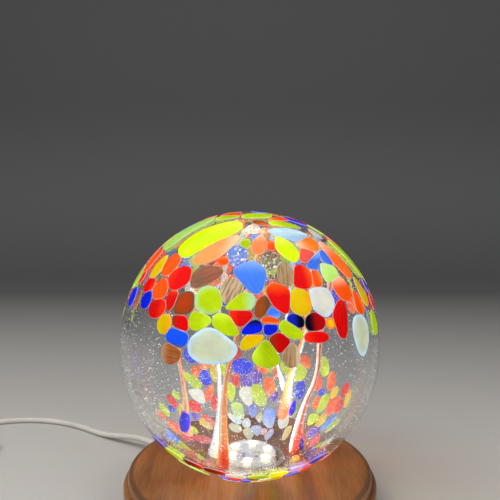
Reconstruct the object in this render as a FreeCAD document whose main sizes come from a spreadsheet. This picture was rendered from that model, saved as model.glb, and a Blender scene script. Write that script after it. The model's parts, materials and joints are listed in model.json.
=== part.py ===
"""Glass ball lamp: a hand-blown ball of clear glass with coloured glass chips melted on to it
and pulled glass strands inside it, standing by its mouth on a turned wooden base that holds a
ring of six small lights. A thin low-voltage cord with a rocker switch and a flat plug feeds it.

Millimetres, +Z up. The origin is the point of the table under the middle of the base.
Azimuth on the ball is counted from the front (-Y) towards +X, latitude from its equator.
"""
import FreeCAD, Part
import math
import os
import re
import Sketcher
from FreeCAD import Rotation, Vector

OUT = Vector(0, 0, 1)
doc = FreeCAD.newDocument("glass_ball_lamp")

# Driving sizes

SIZES = {
    # The glass
    "ball_width": 127.0,
    "ball_band": 3.3,
    "glass_wall": 3.0,
    "mouth_width": 30.0,
    "rim_ground": 2.7,
    "chip_proud": 0.4,
    # The wooden base and its feet
    "base_width": 127.0,
    "base_high": 18.0,
    "shoulder_width": 122.4,
    "shoulder_round": 2.2,
    "step_high": 12.5,
    "flange_round": 1.2,
    "foot_high": 1.5,
    "foot_width": 11.0,
    "foot_circle": 106.0,
    # The hollow under the base and its cover
    "web_thick": 5.5,
    "cavity_width": 72.0,
    "cover_width": 87.4,
    "cover_thick": 2.0,
    "cover_screw_circle": 80.0,
    # The silicone ring that the ball stands on
    "seat_width": 37.0,
    "seat_bore": 31.0,
    "seat_thick": 2.0,
    "seat_sunk": 1.2,
    # The light in the mouth of the ball
    "cap_width": 27.0,
    "cap_wall": 1.2,
    "cap_above": 6.0,
    "flange_width": 40.0,
    "cap_flange": 1.5,
    "pedestal_flange": 2.0,
    "pedestal_bore": 6.4,
    "board_above": 1.4,
    "board_thick": 1.0,
    "light_circle": 19.6,
    "light_side": 3.5,
    "light_start": 22.0,
    # Screws
    "screw_width": 2.2,
    "head_width": 4.2,
    "head_high": 1.0,
    "pedestal_screw_circle": 34.0,
    # The cord
    "cord_width": 3.5,
    "core_width": 1.2,
    "exit_angle": 140.0,
    "exit_high": 7.5,
    "relief_out": 10.0,
    # The switch on the cord
    "switch_length": 46.0,
    "switch_width": 18.0,
    "switch_high": 12.0,
    "switch_wall": 1.6,
    "switch_split": 5.5,
    "rocker_length": 14.0,
    "rocker_width": 8.0,
    "rocker_tilt": 9.0,
    # The plug
    "plug_length": 22.0,
    "plug_width": 15.5,
    "plug_high": 8.0,
    "shell_length": 12.0,
    "shell_width": 12.0,
    "shell_high": 4.5,
    # Room between pieces that fit or slide
    "fit": 0.2,
    "slide": 0.3,
}

sheet = doc.addObject("Spreadsheet::Sheet", "sizes")
for row, (alias, value) in enumerate(SIZES.items(), start=1):
    sheet.set(f"A{row}", alias)
    sheet.set(f"B{row}", str(value))
    sheet.setAlias(f"B{row}", alias)
doc.recompute()


def linked(text):
    """An expression that reads the sheet, from one that names its sizes."""
    return re.sub(r"[a-z_]+", lambda m: f"sizes.{m[0]}" if m[0] in SIZES else m[0], str(text))


def number(text):
    """What such an expression comes to."""
    return float(sheet.evalExpression(linked(text)))


# Places that several pieces share, as expressions of the sizes

RIM = "(base_high - seat_sunk + seat_thick)"
BALL_MIDDLE = f"({RIM} + (ball_width + ball_band) / 2 - rim_ground)"
WEB_UNDER = "(base_high - web_thick)"
COVER_TOP = "(foot_high + cover_thick)"
CAP_IN = "(cap_width / 2 - cap_wall)"
CAP_TOP = "(base_high + cap_above)"
PEDESTAL_UNDER = f"({WEB_UNDER} - cap_flange - pedestal_flange)"
BOARD_UNDER = "(base_high + board_above)"
BOARD_TOP = f"({BOARD_UNDER} + board_thick)"

# Small tools for making features

nodes = {}


def node(label, thing, turn=None):
    """Keeps a finished piece under its name. A piece drawn along +X turns to where the cord leaves."""
    thing.Label = label
    if turn is not None:
        thing.Placement = FreeCAD.Placement(thing.Placement.Base, Rotation(OUT, 1))
        thing.setExpression("Placement.Rotation.Angle", linked(turn))
    nodes[label] = thing
    return thing


def bind(thing, **links):
    for prop, text in links.items():
        thing.setExpression(prop, linked(text))
    return thing


def at(thing, x=0, y=0, z=0):
    for axis, text in zip("xyz", (x, y, z)):
        thing.setExpression(f"Placement.Base.{axis}", linked(text))
    return thing


def box(x, y, z, length, width, high):
    """A block whose middle is at x, y and whose underside is at z."""
    thing = bind(doc.addObject("Part::Box", "block"), Length=length, Width=width, Height=high)
    return at(thing, f"{x} - ({length}) / 2", f"{y} - ({width}) / 2", z)


def rod(radius, high, x=0, y=0, z=0, axis=OUT):
    thing = doc.addObject("Part::Cylinder", "rod")
    thing.Placement.Rotation = Rotation(OUT, axis)
    return at(bind(thing, Radius=radius, Height=high), x, y, z)


def cone(radius, tip, high, x=0, y=0, z=0, axis=OUT):
    thing = doc.addObject("Part::Cone", "cone")
    thing.Placement.Rotation = Rotation(OUT, axis)
    return at(bind(thing, Radius1=radius, Radius2=tip, Height=high), x, y, z)


def oval(width, z):
    """Two half spheres with a short band between them, whose middle is at z."""
    parts = [rod(f"({width}) / 2", "ball_band", 0, 0, f"{z} - ball_band / 2")]
    for low, high, side in ((0, 90, 1), (-90, 0, -1)):
        half = bind(doc.addObject("Part::Sphere", "half"), Radius=f"({width}) / 2")
        half.Angle1, half.Angle2 = low, high
        parts.append(at(half, 0, 0, f"{z} + {side} * ball_band / 2"))
    return join(*parts)


def join(*pieces):
    thing = doc.addObject("Part::MultiFuse", "join")
    thing.Shapes = list(pieces)
    return thing


def cut(base, *tools):
    thing = doc.addObject("Part::Cut", "cut")
    thing.Base = base
    thing.Tool = join(*tools) if len(tools) > 1 else tools[0]
    return thing


def group(*pieces):
    thing = doc.addObject("Part::Compound", "group")
    thing.Links = list(pieces)
    return thing


def ring_of(count, circle, make, start=0):
    """Copies of a piece around the Z axis: make(x, y, angle) draws one."""
    made = []
    for i in range(count):
        angle = f"({start} + {360 * i / count})"
        across, back = f"({circle}) / 2 * cos({angle} * 1 deg)", f"({circle}) / 2 * sin({angle} * 1 deg)"
        made.append(make(across, back, angle))
    return made


def origin_plane(body, role):
    return next(f for f in body.Origin.OriginFeatures if f.Role == role)


def sketch_on(body, role, corners):
    """A closed outline of straight sides whose corners are bound to the sizes."""
    sketch = body.newObject("Sketcher::SketchObject", "outline")
    sketch.AttachmentSupport = (origin_plane(body, role), [""])
    sketch.MapMode = "FlatFace"
    points = [Vector(number(a), number(b), 0) for a, b in corners]
    for i, point in enumerate(points):
        sketch.addGeometry(Part.LineSegment(point, points[(i + 1) % len(points)]))
    for i in range(len(points)):
        sketch.addConstraint(Sketcher.Constraint("Coincident", i, 2, (i + 1) % len(points), 1))
    for i, (a, b) in enumerate(corners):
        for kind, text, value, axis in (("DistanceX", a, points[i].x, -2), ("DistanceY", b, points[i].y, -1)):
            if str(text) == "0":
                sketch.addConstraint(Sketcher.Constraint("PointOnObject", i, 1, axis))
                continue
            which = sketch.addConstraint(Sketcher.Constraint(kind, -1, 1, i, 1, value))
            sketch.setExpression(f"Constraints[{which}]", linked(text))
    return sketch


def circles(shape, radius, high):
    """The names of a turned shape's round edges of that radius at that height."""
    found = []
    for i, edge in enumerate(shape.Edges, start=1):
        curve = edge.Curve
        if not isinstance(curve, Part.Circle):
            continue
        if abs(curve.Radius - radius) < 0.01 and abs(curve.Center.z - high) < 0.01:
            found.append(f"Edge{i}")
    return found


def turned(outline, *soft):
    """A body turned about Z from an outline of (radius, height) corners. Each soft edge is a
    radius, a height and the rounding it gets."""
    body = doc.addObject("PartDesign::Body", "turned")
    sketch = sketch_on(body, "XZ_Plane", outline)
    turning = body.newObject("PartDesign::Revolution", "turning")
    turning.Profile = sketch
    turning.ReferenceAxis = (sketch, ["V_Axis"])
    turning.Angle = 360
    doc.recompute()
    last = turning
    for radius, high, rounding in soft:
        fillet = body.newObject("PartDesign::Fillet", "rounding")
        fillet.Base = (last, circles(last.Shape, number(radius), number(high)))
        bind(fillet, Radius=rounding)
        doc.recompute()
        last = fillet
    return body


def block(x, y, z, length, width, high, corner, top=None, bottom=None):
    """A body with rounded upright corners, and a rounded top or bottom where it has one."""
    body = doc.addObject("PartDesign::Body", "block")
    x0, x1 = f"{x} - ({length}) / 2", f"{x} + ({length}) / 2"
    y0, y1 = f"{y} - ({width}) / 2", f"{y} + ({width}) / 2"
    sketch = sketch_on(body, "XY_Plane", [(x0, y0), (x1, y0), (x1, y1), (x0, y1)])
    sketch.AttachmentOffset = FreeCAD.Placement(Vector(0, 0, number(z)), Rotation())
    sketch.setExpression("AttachmentOffset.Base.z", linked(z))
    pad = body.newObject("PartDesign::Pad", "pad")
    pad.Profile = sketch
    bind(pad, Length=high)
    doc.recompute()
    upright = [
        f"Edge{i}"
        for i, e in enumerate(pad.Shape.Edges, start=1)
        if abs(e.Vertexes[0].Z - e.Vertexes[-1].Z) > 0.01
    ]
    last = pad
    fillet = body.newObject("PartDesign::Fillet", "corners")
    fillet.Base = (pad, upright)
    bind(fillet, Radius=corner)
    doc.recompute()
    last = fillet
    for rounding, level in ((top, number(f"{z} + ({high})")), (bottom, number(z))):
        if rounding is None:
            continue
        rim = [
            f"Edge{i}"
            for i, e in enumerate(last.Shape.Edges, start=1)
            if all(abs(v.Z - level) < 0.001 for v in e.Vertexes)
        ]
        fillet = body.newObject("PartDesign::Fillet", "rim")
        fillet.Base = (last, rim)
        bind(fillet, Radius=rounding)
        doc.recompute()
        last = fillet
    return body


def solid(label, shape):
    """A piece that is drawn with shape functions and not with features."""
    thing = doc.addObject("Part::Feature", label)
    thing.Shape = shape
    thing.Placement = FreeCAD.Placement()
    return node(label, thing)


def round_wire(middle, direction, radius):
    return Part.Wire([Part.Circle(middle, direction, radius).toShape()])


def rounded_path(points):
    """Straight runs joined by arcs, each arc as large as its two runs allow, and their radii."""
    edges, radii, start = [], [], points[0]
    for before, corner, after in zip(points, points[1:], points[2:]):
        coming, going = (corner - before), (after - corner)
        half_turn = coming.getAngle(going) / 2
        reach = 0.45 * min(coming.Length, going.Length)
        radii.append(reach / math.tan(half_turn))
        coming.normalize()
        going.normalize()
        first, last = corner - coming * reach, corner + going * reach
        inward = (going - coming).normalize()
        middle = corner + inward * (radii[-1] / math.cos(half_turn) - radii[-1])
        edges += [Part.LineSegment(start, first).toShape(), Part.Arc(first, middle, last).toShape()]
        start = last
    edges.append(Part.LineSegment(start, points[-1]).toShape())
    return edges, radii


def tube(label, edges, width):
    """A round tube along edges that meet smoothly."""
    path = Part.Wire(edges)
    direction = edges[0].tangentAt(edges[0].FirstParameter)
    begin = edges[0].valueAt(edges[0].FirstParameter)
    shape = path.makePipeShell([round_wire(begin, direction, width / 2)], True, False)
    expected = math.pi * (width / 2) ** 2 * path.Length
    share = shape.Volume / expected
    print(f"{label}: {path.Length:.1f} long, volume {share:.4f} of its section times its length")
    return shape, path.Length


# The glass ball: an oval shell, ground flat at the foot, with a bored mouth

blown = oval("ball_width", BALL_MIDDLE)
hollow = oval("ball_width - 2 * glass_wall", BALL_MIDDLE)
mouth = rod("mouth_width / 2", "base_high", 0, 0, f"{RIM} - base_high / 2")
ground = rod("ball_width / 2", "rim_ground + 1", 0, 0, f"{RIM} - rim_ground - 1")
node("glass_ball", cut(blown, join(hollow, mouth, ground)))

# The wooden base: a turned disc with a rounded shoulder over a wider flange

SHOULDER = "shoulder_width / 2"
SIDE = "base_width / 2"
CAP_HOLE = "(cap_width / 2 + fit)"
GROOVE_IN = "(seat_bore / 2 - slide)"
GROOVE_OUT = "(seat_width / 2 + slide)"
GROOVE_FLOOR = "(base_high - seat_sunk)"
COVER_HOLE = "(cover_width / 2 + slide)"
base_blank = turned(
    [
        (CAP_HOLE, WEB_UNDER),
        (CAP_HOLE, "base_high"),
        (GROOVE_IN, "base_high"),
        (GROOVE_IN, GROOVE_FLOOR),
        (GROOVE_OUT, GROOVE_FLOOR),
        (GROOVE_OUT, "base_high"),
        (SHOULDER, "base_high"),
        (SHOULDER, "step_high"),
        (SIDE, "step_high"),
        (SIDE, "foot_high"),
        (COVER_HOLE, "foot_high"),
        (COVER_HOLE, COVER_TOP),
        ("cavity_width / 2", COVER_TOP),
        ("cavity_width / 2", WEB_UNDER),
    ],
    (SHOULDER, "base_high", "shoulder_round"),
    (SIDE, "step_high", "flange_round"),
    (SIDE, "foot_high", "flange_round"),
)

ALONG = Vector(1, 0, 0)
STUB = "(cord_width / 2 + 1.75)"
STUB_DEEP = 10
SCREW = "screw_width / 2"
HEAD = "head_width / 2"
SCREW_BITE = 3.4


def turned_tool(tool):
    """A cutting tool drawn along +X, turned to where the cord leaves."""
    whole = group(tool)
    whole.Placement = FreeCAD.Placement(Vector(), Rotation(OUT, 1))
    whole.setExpression("Placement.Rotation.Angle", linked("exit_angle"))
    return whole


cord_hole = rod("cord_width / 2 + fit", "base_width / 2", "cavity_width / 4", 0, "exit_high", ALONG)
stub_hole = rod(STUB, STUB_DEEP + 5, f"{SIDE} - {STUB_DEEP}", 0, "exit_high", ALONG)
CLAMP_X = "(cavity_width / 2 - 5)"
CLAMP_SCREW_Y = "(cord_width / 2 + 3)"
CLAMP_SCREW_TOP = f"({WEB_UNDER} + 2.5)"
clamp_pilots = [
    rod(SCREW, 4, CLAMP_X, f"{side} * {CLAMP_SCREW_Y}", f"{CLAMP_SCREW_TOP} - 4") for side in (-1, 1)
]
pedestal_pilots = ring_of(
    3, "pedestal_screw_circle", lambda x, y, a: rod(SCREW, SCREW_BITE, x, y, WEB_UNDER), "exit_angle + 60"
)
cover_pilots = ring_of(
    3, "cover_screw_circle", lambda x, y, a: rod(SCREW, 6, x, y, COVER_TOP), "exit_angle + 60"
)
node(
    "base_plinth",
    cut(
        base_blank,
        turned_tool(cord_hole),
        turned_tool(stub_hole),
        *[turned_tool(p) for p in clamp_pilots],
        *pedestal_pilots,
        *cover_pilots,
    ),
)

# The silicone ring in its groove, which the ball stands on and turns with

node(
    "seat_ring",
    turned(
        [
            ("seat_bore / 2", GROOVE_FLOOR),
            ("seat_width / 2", GROOVE_FLOOR),
            ("seat_width / 2", RIM),
            ("seat_bore / 2", RIM),
        ],
    ),
)

# The light: a pedestal with a round board of six lights, under a clear cap in the mouth

cap_blank = turned(
    [
        (CAP_IN, f"{WEB_UNDER} - cap_flange"),
        ("flange_width / 2", f"{WEB_UNDER} - cap_flange"),
        ("flange_width / 2", WEB_UNDER),
        ("cap_width / 2", WEB_UNDER),
        ("cap_width / 2", CAP_TOP),
        ("0", CAP_TOP),
        ("0", f"{CAP_TOP} - cap_wall"),
        (CAP_IN, f"{CAP_TOP} - cap_wall"),
    ],
    ("cap_width / 2", CAP_TOP, "cap_wall"),
)
cap_holes = ring_of(
    3,
    "pedestal_screw_circle",
    lambda x, y, a: rod(SCREW, "cap_flange + 1", x, y, f"{WEB_UNDER} - cap_flange - 0.5"),
    "exit_angle + 60",
)
node("light_cap", cut(cap_blank, *cap_holes))

pedestal_blank = turned(
    [
        ("pedestal_bore / 2", PEDESTAL_UNDER),
        ("flange_width / 2", PEDESTAL_UNDER),
        ("flange_width / 2", f"{PEDESTAL_UNDER} + pedestal_flange"),
        (f"{CAP_IN} - slide", f"{PEDESTAL_UNDER} + pedestal_flange"),
        (f"{CAP_IN} - slide", BOARD_UNDER),
        ("pedestal_bore / 2", BOARD_UNDER),
    ],
)
pedestal_holes = ring_of(
    3,
    "pedestal_screw_circle",
    lambda x, y, a: rod(SCREW, "pedestal_flange + 1", x, y, f"{PEDESTAL_UNDER} - 0.5"),
    "exit_angle + 60",
)
BOARD_SCREW_CIRCLE = "(pedestal_bore + 5)"
SMALL_SCREW = 0.8
SMALL_HEAD = 1.4
BOARD_SCREW_DEEP = 4
board_pilots = ring_of(
    2,
    BOARD_SCREW_CIRCLE,
    lambda x, y, a: rod(SMALL_SCREW, BOARD_SCREW_DEEP, x, y, f"{BOARD_UNDER} - {BOARD_SCREW_DEEP}"),
    50,
)
node("light_pedestal", cut(pedestal_blank, *pedestal_holes, *board_pilots))


def pan_screw(x, y, under, length):
    """A screw that points up: its head hangs below the face at that height."""
    head = rod(HEAD, "head_high", x, y, f"{under} - head_high")
    return join(head, rod(SCREW, length, x, y, under))


node(
    "pedestal_screws",
    group(
        *ring_of(
            3,
            "pedestal_screw_circle",
            lambda x, y, a: pan_screw(x, y, PEDESTAL_UNDER, f"pedestal_flange + cap_flange + {SCREW_BITE}"),
            "exit_angle + 60",
        )
    ),
)

board_blank = rod(f"{CAP_IN} - slide - fit", "board_thick", 0, 0, BOARD_UNDER)
board_holes = ring_of(
    2, BOARD_SCREW_CIRCLE, lambda x, y, a: rod(SMALL_SCREW, "board_thick + 1", x, y, f"{BOARD_UNDER} - 0.5"), 50
)
node("light_board", cut(board_blank, *board_holes))


def board_screw(x, y, angle):
    head = rod(SMALL_HEAD, 0.8, x, y, BOARD_TOP)
    shank = rod(SMALL_SCREW, f"{BOARD_SCREW_DEEP} + board_thick", x, y, f"{BOARD_UNDER} - {BOARD_SCREW_DEEP}")
    return join(head, shank)


node("board_screws", group(*ring_of(2, BOARD_SCREW_CIRCLE, board_screw, 50)))

LIGHT_BODY = 0.8
LENS_HIGH = 0.7


def small_light(x, y, angle):
    """A flat body with a round lens on it, turned to face along its radius."""
    body = box(0, 0, BOARD_TOP, "light_side", "light_side", LIGHT_BODY)
    lens = rod("light_side / 2 - 0.35", LENS_HIGH, 0, 0, f"{BOARD_TOP} + {LIGHT_BODY}")
    whole = join(body, lens)
    whole.Placement = FreeCAD.Placement(Vector(), Rotation(OUT, 1))
    whole.setExpression("Placement.Rotation.Angle", linked(angle))
    return at(whole, x, y, 0)


node("small_lights", group(*ring_of(6, "light_circle", small_light, "light_start")))
node(
    "board_resistors",
    group(*[box(x, y, BOARD_TOP, 1.6, 0.8, 0.5) for x, y in ((-3.4, 1.4), (-3.4, -1.4), (3.4, -1.4))]),
)

# The wiring under the base: the cord's inner end, its clamp, a two-way connector and the leads

CORE_APART = 0.8
JACKET_END = "(cavity_width / 2 - 9)"
PLUG_HALF = 5.8
CONNECTOR_START = 9
CONNECTOR_MIDDLE = f"({JACKET_END} - 6 - {PLUG_HALF})"
RELIEF_END = f"({SIDE} + relief_out)"
CONNECTOR_HIGH = 2.8

cord_inner = rod("cord_width / 2", f"{RELIEF_END} - {JACKET_END}", JACKET_END, 0, "exit_high", ALONG)
node("cord_inner", group(cord_inner), "exit_angle")
node(
    "cord_cores",
    group(
        *[
            rod("core_width / 2", 6, f"{JACKET_END} - 6", side * CORE_APART, "exit_high", ALONG)
            for side in (-1, 1)
        ]
    ),
    "exit_angle",
)
node(
    "connector_plug",
    group(box(f"{CONNECTOR_MIDDLE} + {PLUG_HALF} / 2", 0, "exit_high - 1.4", PLUG_HALF, 4.6, CONNECTOR_HIGH)),
    "exit_angle",
)
node(
    "connector_socket",
    group(
        box(
            f"({CONNECTOR_MIDDLE} + {CONNECTOR_START}) / 2",
            0,
            "exit_high - 1.4",
            f"{CONNECTOR_MIDDLE} - {CONNECTOR_START}",
            5.2,
            CONNECTOR_HIGH,
        )
    ),
    "exit_angle",
)
leads = []
for side in (-1, 1):
    y = side * CORE_APART
    z = number("exit_high")
    route = [Vector(CONNECTOR_START, y, z), Vector(0, y, z), Vector(0, y, number(BOARD_UNDER))]
    edges, radii = rounded_path(route)
    leads.append(tube(f"lead {side}", edges, number("core_width"))[0])
node("lead_wires", solid("lead_wires", Part.Compound(leads)), "exit_angle")

# The clamp: a pad against the web and a saddle under the cord, drawn together by two screws
CLAMP_LONG = 6
CLAMP_WIDE = "(cord_width + 11)"
SADDLE_UNDER = "(exit_high - cord_width / 2 - 1.2)"
PAD_UNDER = "(exit_high + 0.6)"
cord_room = rod("cord_width / 2", 20, f"{CLAMP_X} - 10", 0, "exit_high", ALONG)
clamp_screw_rooms = [rod(SCREW, 20, CLAMP_X, f"{side} * {CLAMP_SCREW_Y}", 0) for side in (-1, 1)]
pad_block = box(CLAMP_X, 0, PAD_UNDER, CLAMP_LONG, CLAMP_WIDE, f"{WEB_UNDER} - {PAD_UNDER}")
node("clamp_pad", cut(pad_block, cord_room, *clamp_screw_rooms), "exit_angle")
saddle_block = box(CLAMP_X, 0, SADDLE_UNDER, CLAMP_LONG, CLAMP_WIDE, f"exit_high - 0.6 - {SADDLE_UNDER}")
node("cord_clamp", cut(saddle_block, cord_room, *clamp_screw_rooms), "exit_angle")
node(
    "clamp_screws",
    group(
        *[
            join(
                rod("head_width / 2 - 0.4", 0.8, CLAMP_X, f"{side} * {CLAMP_SCREW_Y}", f"{SADDLE_UNDER} - 0.8"),
                rod(
                    SCREW,
                    f"{CLAMP_SCREW_TOP} - {SADDLE_UNDER}",
                    CLAMP_X,
                    f"{side} * {CLAMP_SCREW_Y}",
                    SADDLE_UNDER,
                ),
            )
            for side in (-1, 1)
        ]
    ),
    "exit_angle",
)

relief_body = join(
    rod(STUB, STUB_DEEP, f"{SIDE} - {STUB_DEEP}", 0, "exit_high", ALONG),
    rod(f"{STUB} + 0.6", 1.5, SIDE, 0, "exit_high", ALONG),
    cone(f"{STUB} - 0.3", "cord_width / 2 + 0.5", "relief_out - 1.5", f"{SIDE} + 1.5", 0, "exit_high", ALONG),
)
relief_bore = rod("cord_width / 2", 40, f"{SIDE} - 20", 0, "exit_high", ALONG)
node("cord_relief", cut(relief_body, relief_bore), "exit_angle")

# The cover under the base, its screws and four feet

cover_disc = rod("cover_width / 2", "cover_thick", 0, 0, "foot_high")
cover_rooms = ring_of(
    3,
    "cover_screw_circle",
    lambda x, y, a: join(
        rod(SCREW, "cover_thick + 1", x, y, "foot_high - 0.5"),
        rod(f"{HEAD} + fit", "head_high + 0.5", x, y, "foot_high - 0.5"),
    ),
    "exit_angle + 60",
)
node("bottom_cover", cut(cover_disc, *cover_rooms))
node(
    "cover_screws",
    group(
        *ring_of(
            3,
            "cover_screw_circle",
            lambda x, y, a: pan_screw(x, y, "(foot_high + head_high)", "cover_thick - head_high + 6"),
            "exit_angle + 60",
        )
    ),
)
node("feet", group(*ring_of(4, "foot_circle", lambda x, y, a: rod("foot_width / 2", "foot_high", x, y, 0), 45)))

# The switch on the cord, which lies along Y beside the lamp

SWITCH_X = -195.25
SWITCH_Y = 14.0
SWITCH_BOSS = 2.2
SWITCH_SCREW = 0.9
RELIEF_TAPER = 8
TAIL_IN = 7
ALONG_Y = Vector(0, 1, 0)
SWITCH_END = "(switch_length / 2)"
PIN_HIGH = "(switch_high - 2)"
PIN = 0.75
NECK = "(cord_width / 2 + 1.2)"
CONTACT_X = SWITCH_X + 1.6
CONTACT_LONG = 2.0
CONTACTS_APART = 6.0
LEVER_UNDER = "(switch_split + 0.9)"
LEVER_LONG = 11.0
LEVER_PAST_PIVOT = 2.0
LEVER_END = SWITCH_Y + CONTACT_LONG / 2 + LEVER_PAST_PIVOT
boss_places = (
    (SWITCH_X - 5, f"{SWITCH_Y} + {SWITCH_END} - 5"),
    (SWITCH_X + 5, f"{SWITCH_Y} - {SWITCH_END} + 5"),
)


def along_y(radius, start, end, z, x=SWITCH_X):
    return rod(radius, f"({end}) - ({start})", x, start, z, ALONG_Y)


neck_holes = along_y(
    NECK, f"{SWITCH_Y} - {SWITCH_END} - 1", f"{SWITCH_Y} + {SWITCH_END} + 1", "switch_split"
)
inside_width = "switch_width - 2 * switch_wall"
inside_length = "switch_length - 2 * switch_wall"
lower_room = box(SWITCH_X, SWITCH_Y, "switch_wall", inside_width, inside_length, "switch_split")
lower_bosses = [rod(SWITCH_BOSS, "switch_split - 0.5", x, y, 0.5) for x, y in boss_places]
lower_screw_rooms = [rod(SWITCH_SCREW, "switch_split + 1", x, y, -0.5) for x, y in boss_places]
lower_head_rooms = [rod(2 * SWITCH_SCREW + 0.1, 1.5, x, y, -0.5) for x, y in boss_places]
lower_blank = cut(
    block(SWITCH_X, SWITCH_Y, 0, "switch_width", "switch_length", "switch_split", 4, bottom=0.8),
    lower_room,
    neck_holes,
)
node("switch_lower_shell", cut(join(lower_blank, *lower_bosses), *lower_screw_rooms, *lower_head_rooms))

upper_high = "switch_high - switch_split"
upper_room = box(
    SWITCH_X, SWITCH_Y, "switch_split - 1", inside_width, inside_length, f"{upper_high} - switch_wall + 1"
)
rocker_slot = box(
    SWITCH_X, SWITCH_Y, "switch_split", "rocker_width + 2 * slide", "rocker_length + 1.4", "switch_high"
)
upper_blank = cut(
    block(SWITCH_X, SWITCH_Y, "switch_split", "switch_width", "switch_length", upper_high, 4, top=1.6),
    upper_room,
    neck_holes,
    rocker_slot,
)
LUG_HALF = "(rocker_width / 2 + slide + 1)"
lugs = [
    box(f"{SWITCH_X} + {side} * {LUG_HALF}", SWITCH_Y, f"{PIN_HIGH} - 1.6", 2, 3.6, "3.6 - switch_wall")
    for side in (-1, 1)
]
upper_bosses = [
    rod(SWITCH_BOSS, f"{upper_high} - switch_wall / 2", x, y, "switch_split") for x, y in boss_places
]
upper_screw_rooms = [rod(SWITCH_SCREW, "switch_split - 1", x, y, "switch_split - 0.5") for x, y in boss_places]
PIN_LONG = "(rocker_width + 2 * slide + 4)"
pin_room = rod(PIN, PIN_LONG, f"{SWITCH_X} - {PIN_LONG} / 2", SWITCH_Y, PIN_HIGH, ALONG)
node("switch_upper_shell", cut(join(upper_blank, *lugs, *upper_bosses), *upper_screw_rooms, pin_room))
node("rocker_pin", group(rod(PIN, PIN_LONG, f"{SWITCH_X} - {PIN_LONG} / 2", SWITCH_Y, PIN_HIGH, ALONG)))

rocker_body = doc.addObject("PartDesign::Body", "rocker")
rocker_outline = sketch_on(
    rocker_body,
    "YZ_Plane",
    [
        ("-rocker_length / 2", 0.4),
        ("-2.5", -2.4),
        ("2.5", -2.4),
        ("rocker_length / 2", 0.4),
        ("rocker_length / 2", 2.6),
        ("0", 1.5),
        ("-rocker_length / 2", 2.6),
    ],
)
rocker_pad = rocker_body.newObject("PartDesign::Pad", "rocker_pad")
rocker_pad.Profile = rocker_outline
rocker_pad.Midplane = True
bind(rocker_pad, Length="rocker_width")
rocker = cut(rocker_body, rod(PIN + 0.1, 20, -10, 0, 0, ALONG))
rocker.Placement = FreeCAD.Placement(Vector(), Rotation(ALONG, 1))
rocker.setExpression("Placement.Rotation.Angle", linked("rocker_tilt"))
node("switch_rocker", at(rocker, SWITCH_X, SWITCH_Y, PIN_HIGH))

node(
    "contact_lever",
    group(box(CONTACT_X, LEVER_END - LEVER_LONG / 2, LEVER_UNDER, 3.6, LEVER_LONG, 0.4)),
)
node(
    "switch_contacts",
    group(
        *[
            box(CONTACT_X, y, "switch_wall", 2.4, CONTACT_LONG, f"{LEVER_UNDER} - switch_wall")
            for y in (SWITCH_Y, SWITCH_Y - CONTACTS_APART)
        ]
    ),
)
TAIL_END = f"({SWITCH_END} - {TAIL_IN})"
tail_low = f"{SWITCH_Y} - {TAIL_END}"
tail_high = f"{SWITCH_Y} + {TAIL_END}"
WIRE_STOPS = (SWITCH_Y - CONTACTS_APART - CONTACT_LONG / 2, SWITCH_Y + CONTACT_LONG / 2)
node(
    "switch_wires",
    group(
        along_y("core_width / 2", tail_low, tail_high, "switch_split", SWITCH_X - CORE_APART),
        along_y("core_width / 2", tail_low, WIRE_STOPS[0], "switch_split", SWITCH_X + CORE_APART),
        along_y("core_width / 2", WIRE_STOPS[1], tail_high, "switch_split", SWITCH_X + CORE_APART),
    ),
)
relief_reach = f"({SWITCH_END} + {RELIEF_TAPER})"
node(
    "switch_tails",
    group(
        along_y("cord_width / 2", f"{SWITCH_Y} - {relief_reach}", tail_low, "switch_split"),
        along_y("cord_width / 2", tail_high, f"{SWITCH_Y} + {relief_reach}", "switch_split"),
    ),
)
node(
    "switch_screws",
    group(
        *[
            join(rod(2 * SWITCH_SCREW, 1, x, y, 0), rod(SWITCH_SCREW, "2 * switch_split - 2.5", x, y, 1))
            for x, y in boss_places
        ]
    ),
)
for side, name in ((1, "switch_relief_in"), (-1, "switch_relief_out")):
    aim = Vector(0, side, 0)
    end = f"{SWITCH_Y} + {side} * {SWITCH_END}"
    inner = f"{end} - {side} * (switch_wall + 1.4)"
    whole = join(
        rod(f"{NECK} + 0.9", 1.4, SWITCH_X, inner, "switch_split", aim),
        rod(NECK, "switch_wall + 1.4", SWITCH_X, inner, "switch_split", aim),
        cone(f"{NECK} + 0.3", "cord_width / 2 + 0.5", RELIEF_TAPER, SWITCH_X, end, "switch_split", aim),
    )
    node(name, cut(whole, rod("cord_width / 2", 20, SWITCH_X, f"{end} - {side} * 10", "switch_split", aim)))

# The flat plug at the far end, lying beside the coil

PLUG_X = -160.0
PLUG_Y = 14.0
PLUG_TAPER = 10
PLUG_AXIS = "plug_high / 2"
PLUG_FRONT = f"({PLUG_Y + PLUG_TAPER} + plug_length)"
SHEET_METAL = 0.35
plug_relief_cone = cone(
    "cord_width / 2 + 0.5", "plug_high / 2 - 0.6", PLUG_TAPER, PLUG_X, PLUG_Y, PLUG_AXIS, ALONG_Y
)
node("plug_relief", group(plug_relief_cone))
node(
    "plug_body",
    block(
        PLUG_X,
        f"{PLUG_Y + PLUG_TAPER} + plug_length / 2",
        0,
        "plug_width",
        "plug_length",
        "plug_high",
        2,
        top=1,
        bottom=1,
    ),
)
shell_middle = f"{PLUG_FRONT} + shell_length / 2"
shell_under = "(plug_high - shell_high) / 2"
shell_blank = box(PLUG_X, shell_middle, shell_under, "shell_width", "shell_length", "shell_high")
shell_room = box(
    PLUG_X,
    shell_middle,
    f"{shell_under} + {SHEET_METAL}",
    f"shell_width - {2 * SHEET_METAL}",
    "shell_length + 2",
    f"shell_high - {2 * SHEET_METAL}",
)
windows = [box(PLUG_X + x, f"{PLUG_FRONT} + 6", 0, 2.2, 2.4, "plug_high") for x in (-2.8, 2.8)]
node("plug_shell", cut(shell_blank, shell_room, *windows))
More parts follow.
